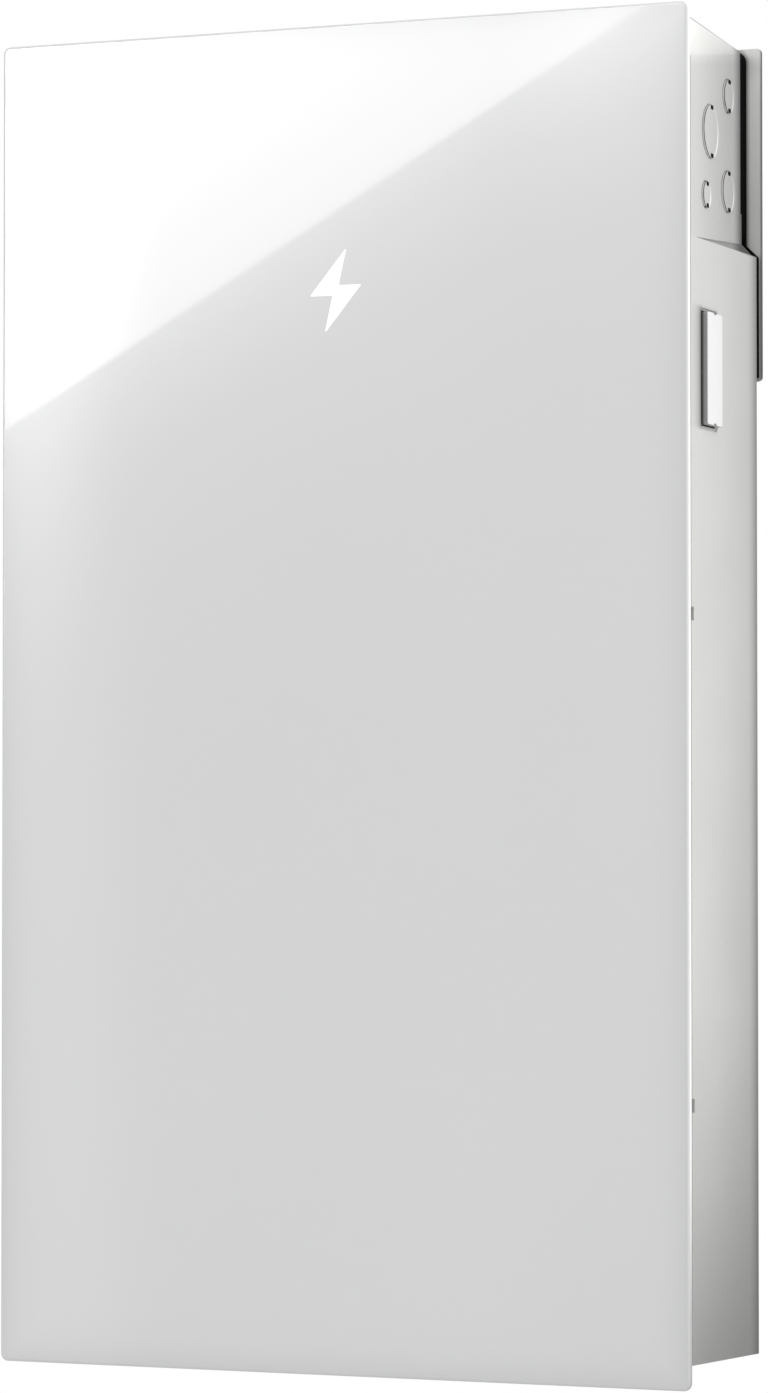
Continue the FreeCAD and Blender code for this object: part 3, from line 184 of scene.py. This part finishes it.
def powder_coat(name, colour, roughness=0.42, grain=0.00012, mottle=0.03, painted_shade=None):
    """Textured powder coat: fine orange peel, faint mottling and slightly uneven sheen.

    The last argument gives a factor for the colour: painted light and shade, such as soft darkening in
    corners, gaps and edges."""
    s = Shader(name)
    broad = s.noise(9.0, 4.0)
    paint = s.mix(s.span(broad, 0.3, 0.7), shade(colour, 1 - mottle), shade(colour, 1 + mottle))
    s.set(Base_Color=s.tint(paint, painted_shade(s)) if painted_shade else paint)
    s.set(Roughness=s.span(s.noise(240.0, 3.0), 0.3, 0.7, roughness - 0.05, roughness + 0.06))
    peel = s.bump(s.noise(900.0, 2.0), 0.35, grain)
    s.set(Normal=s.bump(s.noise(160.0, 2.0), 0.25, grain * 1.5, peel))
    return s.material


def moulded(name, colour, roughness=0.45, grain=0.00008, coat=0.0, painted_shade=None):
    """Moulded plastic with a spark-eroded texture and faint flow marks."""
    s = Shader(name)
    flow = s.noise(14.0, 3.0, stretch=(1.0, 1.0, 0.25))
    plastic = s.mix(s.span(flow, 0.3, 0.7), shade(colour, 0.93), shade(colour, 1.06))
    # The last argument, if given, multiplies painted light and shade into the colour.
    s.set(Base_Color=s.tint(plastic, painted_shade(s)) if painted_shade else plastic)
    s.set(Roughness=s.span(s.noise(420.0, 2.0), 0.3, 0.7, roughness - 0.06, roughness + 0.06))
    s.set(Normal=s.bump(s.noise(1400.0, 2.0), 0.4, grain), Coat_Weight=coat)
    return s.material


def bare_metal(name, colour, roughness=0.32, lay=(1.0, 1.0, 40.0), brushed=0.00004):
    """Bare metal with a rolling or brushing direction, smudges and tiny scratches."""
    s = Shader(name)
    smudge = s.noise(22.0, 5.0)
    s.set(Base_Color=s.mix(s.span(smudge, 0.3, 0.75), shade(colour, 0.88), shade(colour, 1.05)), Metallic=1.0)
    lines = s.noise(300.0, 3.0, stretch=lay)
    s.set(Roughness=s.span(s.math("ADD", lines, smudge), 0.7, 1.3, roughness - 0.08, roughness + 0.12))
    s.set(Normal=s.bump(lines, 0.3, brushed))
    return s.material


def galvanised(name, colour):
    """Zinc-coated sheet: flat spangles of slightly different grey."""
    s = Shader(name)
    tone = s.axis("X", s.cells(120.0).outputs["Color"])
    s.set(Base_Color=s.mix(tone, shade(colour, 0.82), shade(colour, 1.08)), Metallic=0.85)
    s.set(Roughness=s.span(tone, 0.0, 1.0, 0.34, 0.52))
    s.set(Normal=s.bump(s.noise(500.0, 2.0), 0.2, 0.00005))
    return s.material


def rubber(name, colour, roughness=0.78):
    """Moulded or extruded rubber: matt, with dust in its pores."""
    s = Shader(name)
    dust = s.noise(60.0, 6.0, 0.65)
    s.set(Base_Color=s.mix(s.span(dust, 0.45, 0.85), colour, shade(tuple(c + 0.05 for c in colour), 1.0)))
    s.set(Roughness=s.span(dust, 0.2, 0.8, roughness - 0.08, roughness + 0.1))
    s.set(Normal=s.bump(s.noise(1100.0, 3.0), 0.5, 0.0001))
    return s.material


def circuit_board(name, colour):
    """Solder mask over copper tracks, with pads showing through."""
    s = Shader(name)
    track = s.span(s.cells(85.0, "CHEBYCHEV").outputs["Distance"], 0.28, 0.34)
    pad = s.span(s.cells(240.0).outputs["Distance"], 0.16, 0.12)
    mask = s.mix(track, shade(colour, 1.5), colour)
    s.set(Base_Color=s.mix(pad, mask, (0.62, 0.58, 0.48)), Metallic=s.math("MULTIPLY", pad, 0.8))
    s.set(Roughness=s.span(pad, 0.0, 1.0, 0.3, 0.4), Normal=s.bump(track, 0.3, 0.00005), Coat_Weight=0.2)
    return s.material


def copper(name, colour, lay=(40.0, 1.0, 1.0)):
    """Drawn copper or brass, tarnished in patches."""
    s = Shader(name)
    tarnish = s.noise(35.0, 6.0, 0.6)
    s.set(Base_Color=s.mix(s.span(tarnish, 0.45, 0.8), colour, shade(colour, 0.62)), Metallic=1.0)
    s.set(Roughness=s.span(tarnish, 0.3, 0.8, 0.22, 0.42))
    s.set(Normal=s.bump(s.noise(250.0, 2.0, stretch=lay), 0.25, 0.00004))
    return s.material


def winding(name, colour):
    """Enamelled wire wound round a core."""
    s = Shader(name)
    wave = s.node("ShaderNodeTexWave", {"Vector": s.coords, "Scale": 190.0, "Distortion": 1.2, "Detail": 1.0},
                  wave_type="BANDS", bands_direction="DIAGONAL")
    turns = wave.outputs["Fac"]
    s.set(Base_Color=s.mix(turns, shade(colour, 0.45), colour), Metallic=0.7)
    s.set(Roughness=s.span(turns, 0.0, 1.0, 0.45, 0.25), Normal=s.bump(turns, 0.7, 0.0004))
    return s.material


def wrapped_cell(name, colour):
    """A cell can in blue insulating film, with the film's weld wrinkles near its edges."""
    s = Shader(name)
    wrinkle = s.noise(70.0, 5.0, 0.6, stretch=(0.4, 1.0, 2.5))
    s.set(Base_Color=s.mix(s.span(wrinkle, 0.3, 0.7), shade(colour, 0.85), shade(colour, 1.15)))
    s.set(Roughness=s.span(wrinkle, 0.3, 0.7, 0.24, 0.36))
    s.set(Normal=s.bump(wrinkle, 0.3, 0.0003), Coat_Weight=0.4)
    return s.material


# ---------------------------------------------------------------- materials of the visible pieces
ENCLOSURE = (0.62, 0.617, 0.602)
BRACKET = (0.70, 0.702, 0.683)


def matt_black_and_painted_shade(name):
    """Matt black coat with hardly any sheen, made so black that it also paints the deep shade in the gap
    behind the wiring box.
    """
    s = Shader(name)
    cloud = s.span(s.noise(40.0, 4.0), 0.3, 0.7)
    s.set(Base_Color=s.mix(cloud, (0.001, 0.001, 0.001), (0.002, 0.002, 0.002)))
    s.set(Roughness=s.span(s.noise(240.0, 3.0), 0.3, 0.7, 0.7, 0.82), Specular_IOR_Level=0.04)
    s.set(Normal=s.bump(s.noise(900.0, 2.0), 0.35, 0.0001))
    return s.material


# Where features of the sides lie, as depth and height.
UPPER_DEPTH, LOWER_DEPTH = 0.149, tub_high.y - front_y  # rear edges of the wiring box and the battery box
SEAM_FRONT, SEAM_FRONT_HEIGHT = 0.018, 0.9178  # where the tapered seam between the two boxes starts
SEAM_UPPER_HEIGHT, SEAM_LOWER_HEIGHT = 0.9266, 0.9192  # its two edges at the boxes' rear
BEVEL_FRONT = 0.006  # where the top corner bevels start
BEVEL_FOOT_FRONT, BEVEL_FOOT_BACK = 1.0615, 1.0839  # the top corner bevels' lower edge
BEVEL_HEAD_FRONT, BEVEL_HEAD_BACK = 1.101, 1.0849  # and their upper edge
KNOCKOUT_R = {"large": 0.02185, "medium": 0.01725, "small": 0.0141, "smallest": 0.0111}
SLOT_REACH, SLOT_INSET = 0.005, 0.0023  # how far a pry slot's shade reaches, and how far in the slot lies
HANGER_HALF, HANGER_CORNER = 0.2915, 0.010  # half the black hanger's width, and its corner radius

# Painted light and shade, as (start, end, value at the start, value at the end). These run along the depth:
HEAD_SIDE = (0.02, 0.12, 0.89, 0.665)
HEAD_REAR_EDGE = (0.120, UPPER_DEPTH, 1.0, 0.12)
BODY_SIDE = (0.150, 0.178, 0.94, 0.52)
BODY_REAR_EDGE = (LOWER_DEPTH - 0.020, LOWER_DEPTH - 0.002, 1.0, 0.66)
SEAM_DARK = (0.04, 0.165, 0.93, 0.60)
# and these along the height:
SIDE_FOOT = (0.01, 0.30, 0.71, 0.98)
SIDE_HEAD_PAINTED_LIGHT = (1.02, 1.055, 0.0, 0.04)
PLATE_LOWER = (0.935, 1.055, 0.78, 1.04)
PLATE_HEAD = (1.062, 1.088, 1.0, 0.70)
PLATE_BEHIND_BODY = (0.915, 0.925, 0.58, 1.0)
SEAM_EDGE = (-0.0002, 0.0004)  # how sharply the seam's shade begins


def rear_shading(s, depth, upper):
    """Painted shade: both boxes darken towards their rear edges, where they turn in to the wall bracket."""
    head = s.product(s.span(depth, *HEAD_SIDE), s.span(depth, *HEAD_REAR_EDGE, smooth=True))
    body = s.product(s.span(depth, *BODY_SIDE, smooth=True), s.span(depth, *BODY_REAR_EDGE, smooth=True))
    return s.total(s.product(upper, head), s.product(s.rest(upper), body))


def seam_shading(s, depth, height):
    """Painted shadow: the tapered seam lies in the shadow of the wiring box."""
    top = s.span(depth, SEAM_FRONT, UPPER_DEPTH, SEAM_FRONT_HEIGHT, SEAM_UPPER_HEIGHT)
    bottom = s.span(depth, SEAM_FRONT, LOWER_DEPTH, SEAM_FRONT_HEIGHT, SEAM_LOWER_HEIGHT)
    above = s.span(s.minus(height, bottom), *SEAM_EDGE)
    below = s.span(s.minus(top, height), *SEAM_EDGE)
    return s.rest(s.product(above, below, s.rest(s.span(depth, *SEAM_DARK))))


def bevel_painted_highlight(s, depth, height):
    """Painted highlight: the top corner bevels catch light from above, most of all along their upper edge.

    Their very brim is painted dark, and the painted glow begins on the side just below them."""
    foot = s.span(depth, BEVEL_FRONT, UPPER_DEPTH, BEVEL_FOOT_FRONT, BEVEL_FOOT_BACK)
    head = s.span(depth, BEVEL_FRONT, UPPER_DEPTH, BEVEL_HEAD_FRONT, BEVEL_HEAD_BACK)
    rise = s.math("DIVIDE", s.minus(height, foot), s.minus(head, foot))
    tilted = s.span(s.facing("Z"), 0.1, 0.2)
    highlight = s.product(s.math("POWER", s.span(rise, 0.0, 1.0), 0.7), tilted, 0.44)
    foot_painted_glow = s.product(s.span(s.minus(height, foot), -0.010, 0.004, smooth=True), 0.24)
    brim = s.span(rise, 0.95, 0.97, 1.0, 0.42)
    return s.product(brim, s.total(1.0, highlight, foot_painted_glow, s.span(height, *SIDE_HEAD_PAINTED_LIGHT)))


def ring_shading(s, y, z, name):
    """A knockout's edge: a thin painted shadow line round its front half and a painted highlight arc inside
    its rear half.
    """
    place = mounts["knockout_right_" + name]["pos_m"]
    radius = KNOCKOUT_R[name]
    dy, dz = s.minus(y, place[1]), s.minus(z, place[2])
    turn, drop = s.math("DIVIDE", dy, radius), s.math("DIVIDE", dz, radius)

    width = s.span(s.absolute(turn), 0.2, 0.9, 0.0005, 0.0011)
    off = s.math("DIVIDE", s.absolute(s.minus(s.length(dy, dz), radius)), width)
    front_half = s.span(turn, -0.4, 0.1, -0.88, 0.0, smooth=True)
    line = s.product(s.span(off, 1.3, 0.5, smooth=True), front_half)

    narrow = 0.86  # the light arc's outline, against a full circle
    across = s.math("DIVIDE", s.math("ADD", dy, (1 - narrow) * radius), narrow)
    rim = s.absolute(s.minus(s.length(across, dz), radius))
    painted_glint = s.product(s.span(rim, 0.0021, 0.0008, smooth=True), s.span(turn, 0.05, 0.35, smooth=True),
                      s.span(turn, 0.3, 0.7, 0.55, 1.25), s.span(drop, 0.5, -0.4, 0.20, 0.72))
    return s.total(1.0, line, painted_glint)


def slot_shading(s, y, z, name):
    """Painted shadow: the inner walls of a knockout's pry slots lie in shadow."""
    place = mounts["knockout_right_" + name]["pos_m"]
    across = s.span(s.absolute(s.minus(y, place[1])), SLOT_REACH + 0.0005, SLOT_REACH - 0.0005)
    from_slot = s.absolute(s.minus(s.absolute(s.minus(z, place[2])), KNOCKOUT_R[name] - SLOT_INSET))
    return s.rest(s.product(across, s.span(from_slot, 0.0026, 0.0020), 0.93))


def switch_shading(s, x, y, z):
    """A soft painted shadow on the side wall in front of the rocker, and a thin one behind it."""
    gap, reach, soft_end, sharp_end = 0.0012, 0.008, 0.006, 0.001
    before = s.minus(rocker_low.y - gap, y)
    front = s.math("EXPONENT", s.math("DIVIDE", s.math("MAXIMUM", before, 0.0), -reach))
    ahead = s.span(before, -0.001, 0.001)
    behind = s.span(s.minus(y, rocker_high.y), 0.0035, 0.0015, 0.0, 0.25)
    shadow = s.total(s.product(front, ahead), s.product(behind, s.rest(ahead)))
    level = s.product(s.span(z, rocker_low.z - soft_end, rocker_low.z - sharp_end, smooth=True),
                      s.span(z, rocker_high.z + soft_end, rocker_high.z + sharp_end, smooth=True))
    right = s.span(x, 0.0, 0.01)
    return s.rest(s.product(shadow, level, right, 0.92))


def enclosure_painted_light_and_shade(s):
    """All the painted light and shade of the enclosure: on its sides, and inside the knockouts' pry slots."""
    x, y, z = s.axis("X"), s.axis("Y"), s.axis("Z")
    depth, height = s.minus(y, front_y), s.minus(z, glass_low.z)
    upper = s.span(height, SEAM_FRONT_HEIGHT, SEAM_FRONT_HEIGHT + 0.002)
    outer = s.product(rear_shading(s, depth, upper), seam_shading(s, depth, height),
                      switch_shading(s, x, y, z))
    rings = s.product(*[ring_shading(s, y, z, name) for name in KNOCKOUT_R])
    side = s.product(outer, rings, bevel_painted_highlight(s, depth, height), s.span(height, *SIDE_FOOT))
    elsewhere = s.product(*[slot_shading(s, y, z, name) for name in KNOCKOUT_R])
    sideways = s.span(s.absolute(s.facing("X")), 0.2, 0.4)
    return s.total(s.product(sideways, side), s.product(s.rest(sideways), elsewhere))


def bracket_painted_shade(s):
    """Painted shade: the wall plate's front darkens beside the black hanger and behind the battery box.

    Its front is also painted darker low down and at its very top, and its cut edges and outer rim darker too,
    as shade along the plate's edge."""
    x, z = s.absolute(s.axis("X")), s.axis("Z")
    height = s.minus(z, glass_low.z)
    out = s.math("MAXIMUM", s.minus(x, HANGER_HALF - HANGER_CORNER), 0.0)
    above = s.math("MAXIMUM", s.minus(z, hanger_high.z - HANGER_CORNER), 0.0)
    from_hanger = s.minus(s.length(out, above), HANGER_CORNER)
    beside = s.span(from_hanger, -0.0015, 0.0042, 0.12, 1.0, smooth=True)
    lit = s.product(beside, s.span(height, *PLATE_LOWER), s.span(height, *PLATE_HEAD, smooth=True),
                    s.span(height, *PLATE_BEHIND_BODY, smooth=True))
    front = s.span(s.facing("Y"), 0.0, -0.3)
    cut_edge = s.span(s.absolute(s.facing("X")), 0.4, 0.8, 1.0, 0.25)
    rim = s.span(x, bracket_high.x - 0.0016, bracket_high.x - 0.0006, 1.0, 0.5)
    return s.product(cut_edge, rim, s.rest(s.product(front, s.rest(lit))))


def painted_glass():
    """Low-iron glass painted on its back: a deep light grey, darker towards the pane's edges, with bright
    ground edges.
    """
    s = Shader("front_glass")
    x, z = s.axis("X"), s.axis("Z")
    from_side = s.minus(glass_high.x, s.absolute(x))
    from_end = s.math("MINIMUM", s.minus(glass_high.z, z), s.minus(z, glass_low.z))
    inset = s.math("MINIMUM", from_side, from_end)
    tone = s.span(s.noise(2.2, 2.0), 0.35, 0.65)
    grey = s.mix(tone, (0.779, 0.780, 0.782), (0.789, 0.790, 0.791))
    near_edge = s.math("EXPONENT", s.math("DIVIDE", inset, -0.0145))
    body = s.mix(s.product(near_edge, 0.5), grey, (0.56, 0.565, 0.57))
    faces_out = s.span(s.absolute(s.facing("Y")), 0.35, 0.6)
    # Painted shade: the ground edges darken towards the pane's foot.
    above_foot = s.span(s.minus(z, glass_low.z), 0.07, 0.17)
    ground_edge = s.mix(above_foot, (0.62, 0.63, 0.63), (0.93, 0.95, 0.95))
    s.set(Base_Color=s.mix(faces_out, ground_edge, body))
    fine = s.span(s.noise(30.0, 3.0), 0.3, 0.7, 0.012, 0.022)
    s.set(Roughness=s.total(fine, s.span(faces_out, 0.0, 1.0, 0.35, 0.0)), IOR=1.52)
    s.set(Normal=s.bump(s.noise(3.0, 1.0), 0.05, 0.0004))
    return s.material


def paddle_painted_shade(s):
    """Painted shade: the rocker's sides are dark at their foot, where they go down into the gap round them.
    """
    # Above the foot they are painted lighter.
    return s.span(s.axis("X"), tub_high.x - 0.0006, tub_high.x + 0.0006, 0.30, 1.22)


def switch_face():
    """The rocker's smooth white face."""
    s = Shader("rocker_face")
    soft = s.noise(40.0, 3.0)
    s.set(Base_Color=s.mix(s.span(soft, 0.3, 0.7), (0.755, 0.755, 0.755), (0.775, 0.775, 0.77)))
    s.set(Roughness=s.span(s.noise(500.0, 2.0), 0.3, 0.7, 0.30, 0.38))
    s.set(Normal=s.bump(s.noise(1500.0, 2.0), 0.2, 0.00005))
    return s.material


def enamel():
    """The emblem's white enamel, with a faint painted glow of its own that shines through the glass."""
    s = Shader("emblem_enamel_painted_glow")
    s.set(Base_Color=s.mix(s.span(s.noise(200.0, 3.0), 0.3, 0.7), (0.95, 0.95, 0.95), (0.985, 0.985, 0.985)))
    s.set(Roughness=s.span(s.noise(400.0, 2.0), 0.3, 0.7, 0.20, 0.28))
    s.set(Emission_Color=(1.0, 1.0, 1.0, 1.0), Emission_Strength=0.12)
    return s.material


by_slot = {
    "front_glass": painted_glass(),
    "emblem_white": enamel(),
    # The enclosure, wall plate and rocker sides get painted light and shade multiplied into their colour.
    "enclosure_paint": powder_coat("enclosure_paint", ENCLOSURE, 0.36, painted_shade=enclosure_painted_light_and_shade),
    "bracket_paint": powder_coat("bracket_paint", BRACKET, 0.40, painted_shade=bracket_painted_shade),
    "hook_paint": powder_coat("hook_paint", shade(BRACKET, 0.95), 0.42),
    "hanger_paint": matt_black_and_painted_shade("hanger_paint"),
    "lid_paint": powder_coat("lid_paint", (0.50, 0.50, 0.495), 0.44),
    "tray_paint": powder_coat("tray_paint", (0.16, 0.165, 0.17), 0.5),
    "switch_white": switch_face(),
    "switch_grey": moulded("switch_grey", (0.27, 0.27, 0.27), 0.4, painted_shade=paddle_painted_shade),
    "housing_grey": moulded("housing_grey", (0.52, 0.52, 0.51), 0.5),
    "switch_dark": moulded("switch_dark", (0.03, 0.03, 0.032), 0.5),
    "plunger_plastic": moulded("plunger_plastic", (0.55, 0.03, 0.02), 0.35),
    "snap_plastic": moulded("snap_plastic", (0.75, 0.74, 0.70), 0.35),
    "clip_plastic": moulded("clip_plastic", (0.02, 0.02, 0.02), 0.5),
    "contactor_plastic": moulded("contactor_plastic", (0.03, 0.03, 0.033), 0.45),
    "fuse_body": moulded("fuse_body", (0.78, 0.75, 0.68), 0.25, coat=0.5),
    "module_plastic": moulded("module_plastic", (0.02, 0.02, 0.02), 0.5),
    "capacitor_can": moulded("capacitor_can", (0.015, 0.02, 0.05), 0.3, coat=0.3),
    "relay_plastic": moulded("relay_plastic", (0.66, 0.66, 0.63), 0.35),
    "fan_plastic": moulded("fan_plastic", (0.012, 0.012, 0.012), 0.5),
    "gland_plastic": moulded("gland_plastic", (0.02, 0.02, 0.02), 0.5),
    "terminal_grey": moulded("terminal_grey", (0.17, 0.175, 0.18), 0.45),
    "terminal_green": moulded("terminal_green", (0.02, 0.14, 0.04), 0.42),
    "connector_black": moulded("connector_black", (0.014, 0.014, 0.014), 0.42),
    "spacer_rubber": rubber("spacer_rubber", (0.010, 0.010, 0.010)),
    "gasket_rubber": rubber("gasket_rubber", (0.012, 0.012, 0.013)),
    "bond_adhesive": rubber("bond_adhesive", (0.02, 0.02, 0.022), 0.6),
    "cell_foam": rubber("cell_foam", (0.55, 0.55, 0.52), 0.85),
    "cable_orange": rubber("cable_orange", (0.75, 0.13, 0.01), 0.5),
    "harness_rubber": rubber("harness_rubber", (0.012, 0.012, 0.012), 0.55),
    "screw_steel": bare_metal("screw_steel", (0.60, 0.60, 0.57), 0.30),
    "pin_steel": bare_metal("pin_steel", (0.58, 0.58, 0.58), 0.20),
    "strap_steel": bare_metal("strap_steel", (0.50, 0.50, 0.50), 0.32),
    "screen_steel": bare_metal("screen_steel", (0.48, 0.48, 0.48), 0.36),
    "carrier_aluminium": bare_metal("carrier_aluminium", (0.72, 0.72, 0.73), 0.34),
    "end_plate_aluminium": bare_metal("end_plate_aluminium", (0.66, 0.67, 0.68), 0.34, (40.0, 1.0, 1.0)),
    "sink_aluminium": bare_metal("sink_aluminium", (0.68, 0.69, 0.70), 0.32),
    "duct_steel": galvanised("duct_steel", (0.52, 0.53, 0.54)),
    "plate_zinc": galvanised("plate_zinc", (0.56, 0.57, 0.56)),
    "board_green": circuit_board("board_green", (0.012, 0.10, 0.035)),
    "busbar_copper": copper("busbar_copper", (0.86, 0.45, 0.26), (1.0, 1.0, 40.0)),
    "ground_brass": copper("ground_brass", (0.80, 0.60, 0.26)),
    "inductor_copper": winding("inductor_copper", (0.72, 0.30, 0.12)),
    "cell_film": wrapped_cell("cell_film", (0.012, 0.055, 0.26)),
}
slot_of = {part["node"]: part["material_slot"] for part in frame["record"]["subparts"]}
for name, piece in nodes.items():
    material = by_slot[slot_of[name]]
    piece.data.materials.clear()
    piece.data.materials.append(material)


# ---------------------------------------------------------------- studio
FLOOR_RADIUS, FLOOR_DROP = 2.4, 0.55  # the drop is from the glass's lower edge
# Strength of the sky's light, as (axis, start, end, strength at the start, strength at the end).
SKY = (("Y", -0.25, 0.45, 0.85, 0.60), ("Z", -0.6, 0.6, 0.99, 1.01))


def stage_mesh(name, corners, faces):
    """A stage piece made of the given corners and faces."""
    mesh = bpy.data.meshes.new(name)
    mesh.from_pydata([Vector(c) for c in corners], [], faces)
    made = bpy.data.objects.new(name, mesh)
    scene.collection.objects.link(made)
    return made


def seen_only_by(piece, glossy=True, diffuse=False, shadow=False):
    """Hides a stage piece from the camera and from every kind of ray that isn't asked for."""
    piece.visible_camera = False
    piece.visible_glossy = glossy
    piece.visible_diffuse = diffuse
    piece.visible_shadow = shadow
    piece.visible_transmission = False


def world():
    """White all round to the camera.

    It lights the unit more from the front and above than from the wall side."""
    made = bpy.data.worlds.new("studio")
    scene.world = made
    made.use_nodes = True
    tree = made.node_tree
    back = tree.nodes["Background"]
    coords = tree.nodes.new("ShaderNodeTexCoord")
    split = tree.nodes.new("ShaderNodeSeparateXYZ")
    tree.links.new(coords.outputs["Generated"], split.inputs[0])
    product = tree.nodes.new("ShaderNodeMath")
    product.operation = "MULTIPLY"
    for socket, (axis, *fade) in zip(product.inputs, SKY):
        ramp = tree.nodes.new("ShaderNodeMapRange")
        ramp.interpolation_type = "SMOOTHSTEP"
        for key, value in zip(("From Min", "From Max", "To Min", "To Max"), fade):
            ramp.inputs[key].default_value = value
        tree.links.new(split.outputs[axis], ramp.inputs["Value"])
        tree.links.new(ramp.outputs["Result"], socket)
    paths = tree.nodes.new("ShaderNodeLightPath")
    pick = tree.nodes.new("ShaderNodeMix")
    tree.links.new(paths.outputs["Is Camera Ray"], pick.inputs["Factor"])
    tree.links.new(product.outputs[0], pick.inputs[MIX_NUMBER_A])
    pick.inputs[MIX_NUMBER_B].default_value = 1.0
    tree.links.new(pick.outputs[0], back.inputs["Strength"])
    back.inputs["Color"].default_value = (1.0, 1.0, 1.0, 1.0)


def floor():
    """A pale round floor, well below the hanging unit."""
    mesh = bpy.data.meshes.new("floor")
    bm = bmesh.new()
    bmesh.ops.create_circle(bm, cap_ends=True, segments=96, radius=FLOOR_RADIUS)
    bm.to_mesh(mesh)
    bm.free()
    made = bpy.data.objects.new("floor", mesh)
    made.location = (0.0, 0.0, glass_low.z - FLOOR_DROP)
    scene.collection.objects.link(made)
    s = Shader("floor_pale")
    cloud = s.span(s.noise(3.0, 4.0), 0.3, 0.7)
    s.set(Base_Color=s.mix(cloud, (0.84, 0.84, 0.84), (0.87, 0.87, 0.87)), Roughness=0.6)
    made.data.materials.append(s.material)


# The camera, and the same camera mirrored in the glass's front.
camera_place = Vector((1.534919, -3.840805, -0.520948))
yaw, pitch = math.radians(22.24553), math.radians(1.709457)
mirrored_camera = Vector((camera_place.x, 2 * front_y - camera_place.y, camera_place.z))

# The panel that the glass mirrors. These places are points of the glass: across, and up from its lower edge.
PANEL_Y = -3.2
PANEL_SCALE = (mirrored_camera.y - PANEL_Y) / (mirrored_camera.y - front_y)
PANEL_LEFT, PANEL_RIGHT, PANEL_FOOT, PANEL_HEAD = -0.9, 0.6, -0.4, 1.7
DIAGONAL_LOW, DIAGONAL_HIGH = (-0.3020, 0.7811), (0.2642, 1.1011)  # the bright part's slanting edge


def on_panel(x, height):
    """The point of the panel that the camera sees mirrored at a point of the glass."""
    z = glass_low.z + height
    return (mirrored_camera.x + (x - mirrored_camera.x) * PANEL_SCALE, PANEL_Y,
            mirrored_camera.z + (z - mirrored_camera.z) * PANEL_SCALE)


def reflector():
    """A large softbox to the front left. The glass mirrors it, and its slanting edge crosses the glass."""
    corners = [on_panel(PANEL_LEFT, PANEL_FOOT), on_panel(PANEL_RIGHT, PANEL_FOOT),
               on_panel(PANEL_RIGHT, PANEL_HEAD), on_panel(PANEL_LEFT, PANEL_HEAD)]
    made = stage_mesh("softbox_panel", corners, [(0, 1, 2, 3)])
    seen_only_by(made)
    s = Shader("softbox_panel")
    start, end = Vector(on_panel(*DIAGONAL_LOW)), Vector(on_panel(*DIAGONAL_HIGH))
    along = (end - start).normalized()
    across = Vector((-along.z, 0.0, along.x))
    offset = s.node("ShaderNodeVectorMath", operation="DOT_PRODUCT")
    s.put(offset.inputs[0], s.coords)
    offset.inputs[1].default_value = across
    distance = s.minus(offset.outputs["Value"], start.dot(across))
    inside = s.span(distance, -0.006, 0.006, smooth=True)
    x = s.axis("X")

    def towards(near, far):
        """From 0 to 1 between two places across the glass."""
        return s.span(x, on_panel(near, 0)[0], on_panel(far, 0)[0], smooth=True)

    left, far_left, right = towards(-0.15, -0.24), towards(-0.19, -0.28), towards(0.13, 0.25)
    bright = s.total(s.span(distance, 0.0, 0.42, 6.9, 11.0), s.product(left, 2.6), s.product(right, 1.6))
    reach = s.total(0.115, s.product(far_left, 0.10))
    amount = s.total(3.1, s.product(far_left, 1.6), s.product(right, 2.4))
    glow = s.product(s.math("EXPONENT", s.math("DIVIDE", distance, reach)), amount)
    outside = s.total(glow, 0.80, s.product(left, 0.55), s.product(towards(0.08, 0.27), -0.3))
    strength = s.total(s.product(inside, bright), s.product(s.rest(inside), outside))
    light = s.node("ShaderNodeEmission", {"Strength": strength})
    output = s.tree.nodes["Material Output"]
    s.tree.nodes.remove(s.principled)
    s.tree.links.new(light.outputs[0], output.inputs["Surface"])
    made.data.materials.append(s.material)


def softbox(name, place, aim, width, height, watts):
    """An area light that shows neither to the camera nor in reflections."""
    data = bpy.data.lights.new(name, "AREA")
    data.shape = "RECTANGLE"
    data.size, data.size_y, data.energy = width, height, watts
    made = bpy.data.objects.new(name, data)
    made.location = place
    made.rotation_mode = "QUATERNION"
    made.rotation_quaternion = (Vector(aim) - Vector(place)).to_track_quat("-Z", "Y")
    made.visible_camera = False
    made.visible_glossy = False
    scene.collection.objects.link(made)


def dark_card():
    """A dark card under the right side, which keeps light off the foot of that side."""
    front, back = -0.2, 0.6
    near, far = tub_high.x + 0.02, tub_high.x + 0.34
    low, high = tub_low.z - 0.03, tub_low.z + 0.10
    corners = [(near, front, low), (far, front, high), (far, back, high), (near, back, low)]
    made = stage_mesh("dark_card", corners, [(0, 1, 2, 3)])
    seen_only_by(made, glossy=False, diffuse=True, shadow=True)
    s = Shader("dark_card")
    s.set(Base_Color=s.mix(s.noise(20.0), (0.01, 0.01, 0.01), (0.02, 0.02, 0.02)), Roughness=0.9)
    made.data.materials.append(s.material)


def softboxes():
    """A weak strip to the right of the side, and two small boxes high above the unit's sides."""
    place = Vector((tub_high.x + 0.2, front_y - 0.007, glass_low.z + 0.71))
    softbox("strip_right", place, (tub_high.x, place.y, place.z), 0.1, 1.3, 1.0)
    for name, x in (("top_right", tub_high.x + 0.03), ("top_left", tub_low.x - 0.03)):
        softbox("softbox_" + name, (x, -0.1, tub_high.z + 1.45), (x, -0.1, 0.0), 0.3, 0.3, 5.0)


def camera():
    """The camera fitted to the photograph."""
    data = bpy.data.cameras.new("camera")
    data.sensor_width = 36.0
    data.lens = 125.2101
    made = bpy.data.objects.new("camera", data)
    made.location = camera_place
    ahead = Vector((-math.sin(yaw) * math.cos(pitch), math.cos(yaw) * math.cos(pitch), math.sin(pitch)))
    made.rotation_mode = "QUATERNION"
    made.rotation_quaternion = ahead.to_track_quat("-Z", "Y")
    scene.collection.objects.link(made)
    scene.camera = made


world()
floor()
reflector()
dark_card()
softboxes()
camera()
